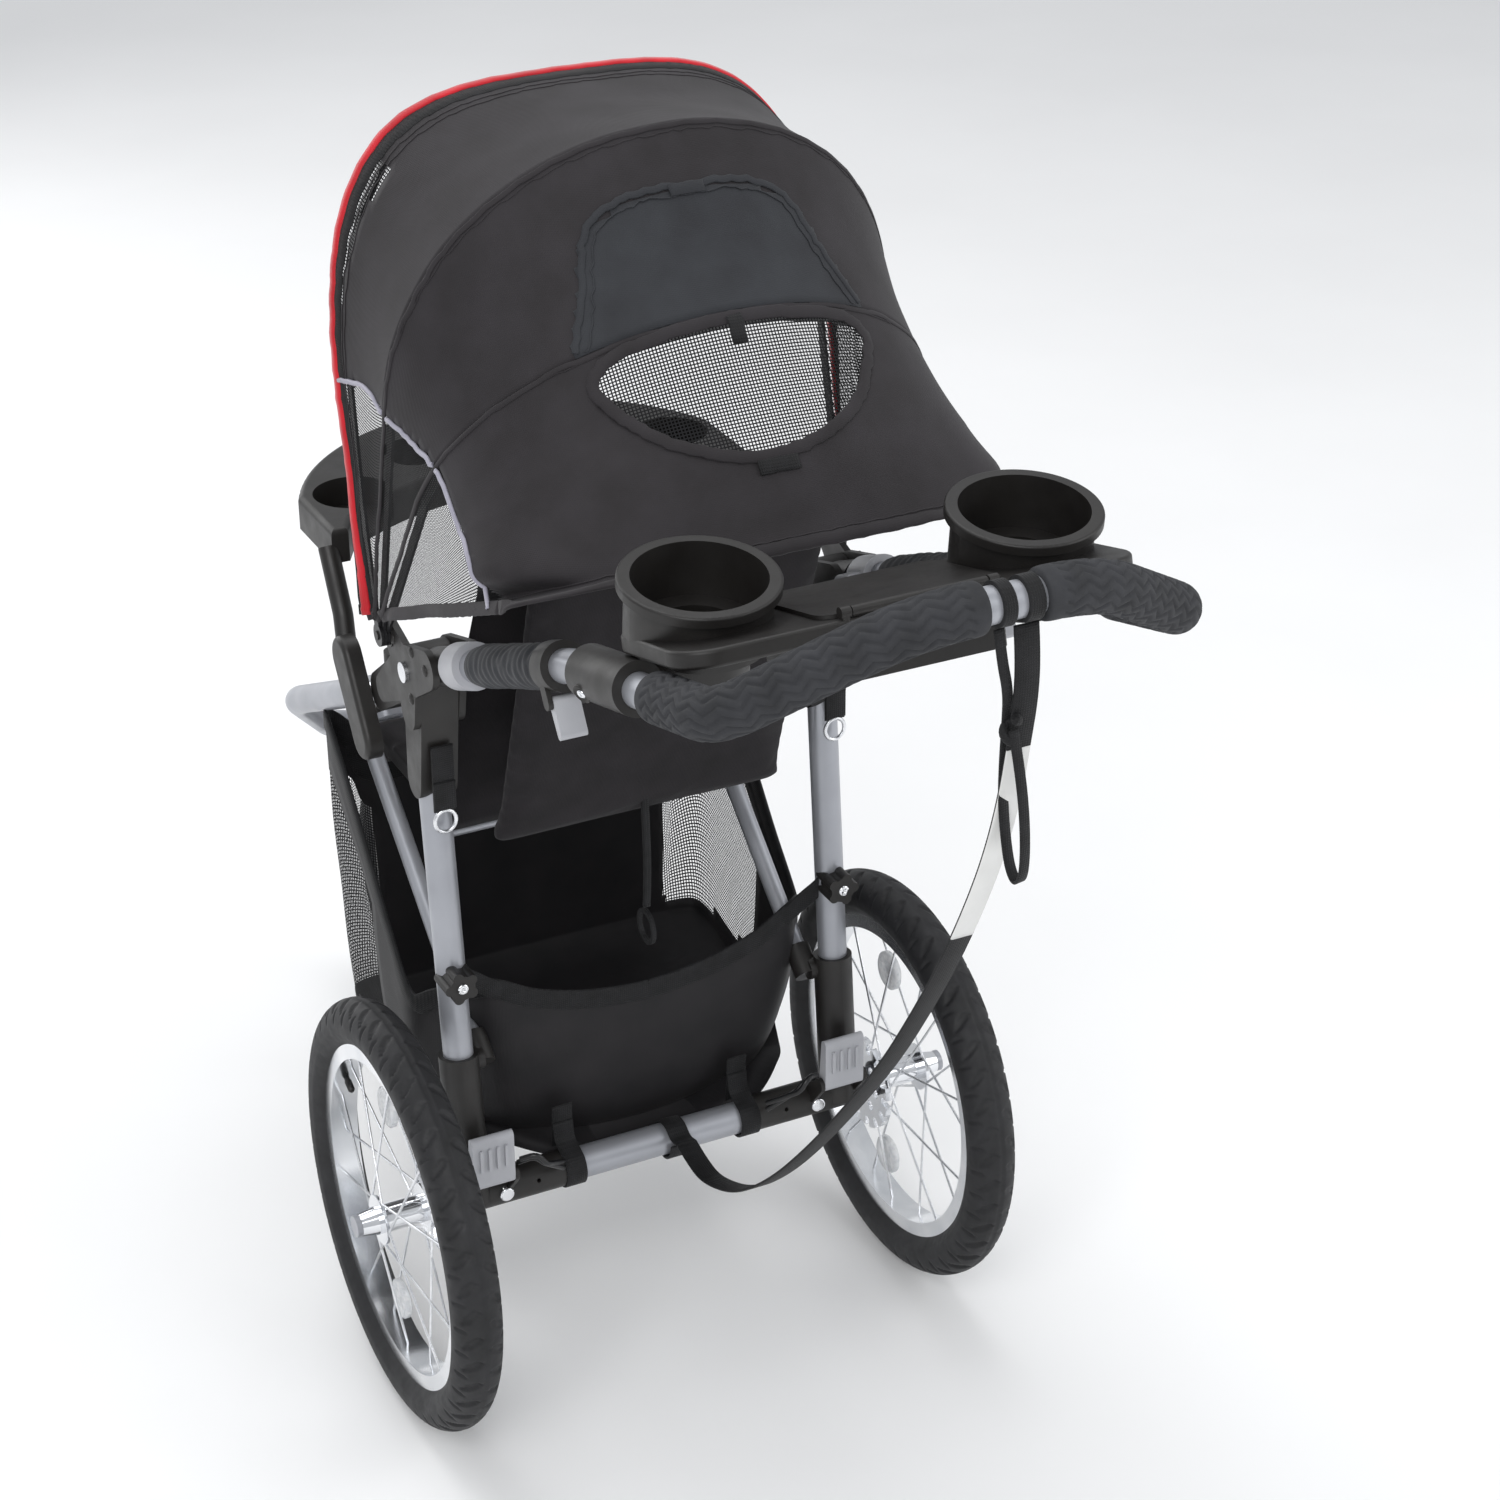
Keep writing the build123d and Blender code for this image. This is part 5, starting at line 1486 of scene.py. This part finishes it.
def cross_screw(name, centre, axis, radius, body):
    """A pan-head screw, its crossed recess cut as a dished star."""
    axis = axis.normalized()
    side = axis.orthogonal().normalized()
    other = axis.cross(side)
    bm = bmesh.new()
    rings = []
    for size, lift, star in SCREW_RINGS:
        ring = []
        for step in range(SCREW_SIDES):
            angle = math.tau * step / SCREW_SIDES
            reach = radius * size * (1 - 0.55 * star * (math.sin(2 * angle) ** 2) ** 0.35)
            way = side * math.cos(angle) + other * math.sin(angle)
            ring.append(bm.verts.new(centre + way * reach * MM + axis * lift * MM))
        rings.append(ring)
    skin(bm, rings)
    riding(finish_mesh(name, bm, finish_of_slot["chrome"]), body)


# rivets through the hinge plates, round the main pin and along the socket: (y, z)
HINGE_RIVETS = ((-52, 742), (-8, 748), (-14, 702), (22, 744))
HINGE_FACE_X = 211.2
SCREW_SEAT = [(-3, 0.2), (-3, 8.2), (1.4, 8.2), (2.0, 7.4), (0.8, 5.6), (0.6, 0.2)]
HOOK_RING_Z = 582


def make_hardware():
    """Rivets, screws and the hook straps behind the legs."""
    black, along = finish_of_slot["black_plastic"], Vector((0, 1, 0))
    for name, side in SIDES:
        for number, (y, z) in enumerate(HINGE_RIVETS):
            place, outward = at(side * HINGE_FACE_X, y, z), Vector((side, 0, 0))
            rivet(f"{name}_hinge_rivet_{number}", place, outward, 5.0, 1.8, "handle")
        # the clamp knobs' screws
        cross_screw(f"{name}_clamp_screw", at(side * FRAME_X, 10.6, 424), along, 5.2, "chassis")
        # the screw in the end of the tray, in its dished seat
        seat, facing = at(side * 206, 338, 864.5), Vector((side * 0.86, 0.36, -0.36))
        cup = turned(f"{name}_tray_screw_seat", SCREW_SEAT, seat, facing, black, 28)
        riding(cup, "handle")
        cross_screw(f"{name}_tray_screw", seat + Vector((side * 0.0006, 0, 0)), facing, 4.0, "handle")
        # webbing hook straps behind the legs
        line = [at(side * FRAME_X, -10.2, z) for z in (654, 634, 612, 592)]
        tape = strap(f"{name}_hook_strap", line, 20, 2.4, "chassis")
        line = [at(side * FRAME_X, -8.4, z) for z in (620, 608, 594)]
        fold = strap(f"{name}_hook_strap_fold", line, 20, 2.0, "chassis")
        line = []
        for k in range(24):
            x = side * FRAME_X + 9.6 * math.sin(math.tau * k / 24)
            line.append(at(x, -9.6, HOOK_RING_Z + 10.5 * math.cos(math.tau * k / 24)))
        ring = swept(f"{name}_hook_ring", line, oval(0.0036, 0.0036, 10), along,
                     finish_of_slot["steel"], closed=True)
        riding(ring, "chassis")
        for piece in (tape, fold, ring):
            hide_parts("side_straps")


# ---------------------------------------------------------------- cords
def route_line(route):
    """Points read from the smooth curve that a cord's control points make."""
    data = bpy.data.curves.new("route", "CURVE")
    data.dimensions = "3D"
    data.resolution_u = 14
    spline = data.splines.new("NURBS")
    spline.points.add(len(route) - 1)
    for point, place in zip(spline.points, route):
        point.co = (*place, 1.0)
    spline.order_u = 3
    spline.use_endpoint_u = True
    carrier = bpy.data.objects.new("route", data)
    mesh = bpy.data.meshes.new_from_object(carrier)
    line = [vertex.co.copy() for vertex in mesh.vertices]
    bpy.data.objects.remove(carrier)
    bpy.data.meshes.remove(mesh)
    return line


# the cords' control points: (y, z) for the tether and the recline cord, (x, y, z) for the loop
TETHER = [
    (589, 980), (593, 955), (592, 922), (585, 886), (577, 846), (566, 808), (552, 770), (530, 722),
    (499, 662), (462, 600), (413, 524), (350, 442), (286, 364), (221, 293), (155, 236), (96, 208),
    (64, 204), (34, 213),
]
TETHER_X = -14
LABEL_PART = slice(38, 104)
TETHER_LOOP = (
    (34, 213), (21, 211), (8, 217.6), (-6, 216), (-16, 206),
    (-16.5, 193), (-6, 183.6), (7, 182.8), (17, 191), (21, 203),
)
WRIST = [
    (7, 588, 980), (5, 590, 957), (-1, 590, 932), (-5, 583, 905), (-7, 578, 872), (-9, 575, 838),
    (-12, 576, 806), (-14, 580, 784), (-15, 588, 776), (-15, 596, 784), (-13, 601, 806),
    (-10, 603, 838), (-7, 600, 872), (-4, 594, 903),
]
RECLINE = [
    (2, 752), (3, 722), (-3, 686), (-8, 648), (-14, 592), (-11, 534), (-9, 480), (-13, 446),
]


def make_cords():
    """The safety tether, the wrist loop and the recline cord."""
    webbing, across = finish_of_slot["webbing"], Vector((1, 0, 0))
    # tether: flat webbing from the bar to the axle, a pale woven label sewn over its middle
    line = route_line([at(TETHER_X, y, z) for y, z in TETHER])
    tether = swept("safety_tether", line, tape_outline(0.020, 0.0022), across, webbing)
    band = swept("tether_label_band", line[LABEL_PART], tape_outline(0.0196, 0.0034), across,
                 label_tape)
    for piece in (tether, band):
        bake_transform(piece)
    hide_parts("tether_strap")
    loop = [at(TETHER_X, y, z) for y, z in TETHER_LOOP]
    strap("tether_axle_loop", loop, 20, 2.0, "chassis")

    # wrist loop, knotted below the bar
    line = route_line([at(*point) for point in WRIST])
    wrist = swept("wrist_strap_loop", line, tape_outline(0.009, 0.0024), Vector((1, 0.2, 0)),
                  webbing)
    turns = [(k, k * 0.9) for k in range(8)]
    knot_line = [
        at(-4 + 5.2 * math.sin(turn), 590 + 5.4 * math.cos(turn), 903 + 2.6 * k - 9)
        for k, turn in turns
    ]
    knot = swept("wrist_strap_knot", evened(smooth_line(knot_line), 0.002), oval(0.008, 0.006),
                 Vector((0, 0, 1)), webbing)
    for piece in (wrist, knot):
        riding(piece, "handle")
    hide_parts("wrist_loop")

    # recline cord: two strands laid together down to the pull ring
    line = route_line([at(0, y, z) for y, z in RECLINE])
    lobes = []
    for k in range(20):
        angle = math.tau * k / 20
        reach = 0.0036 - 0.0011 * math.sin(angle) ** 6
        lobes.append((reach * math.cos(angle), reach * math.sin(angle)))
    cord = swept("recline_pull_cord", line, lobes, across, webbing)
    riding(cord, "seat_back")
    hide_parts("recline_cord")


make_grips()
make_wheels()
make_hardware()
make_cords()
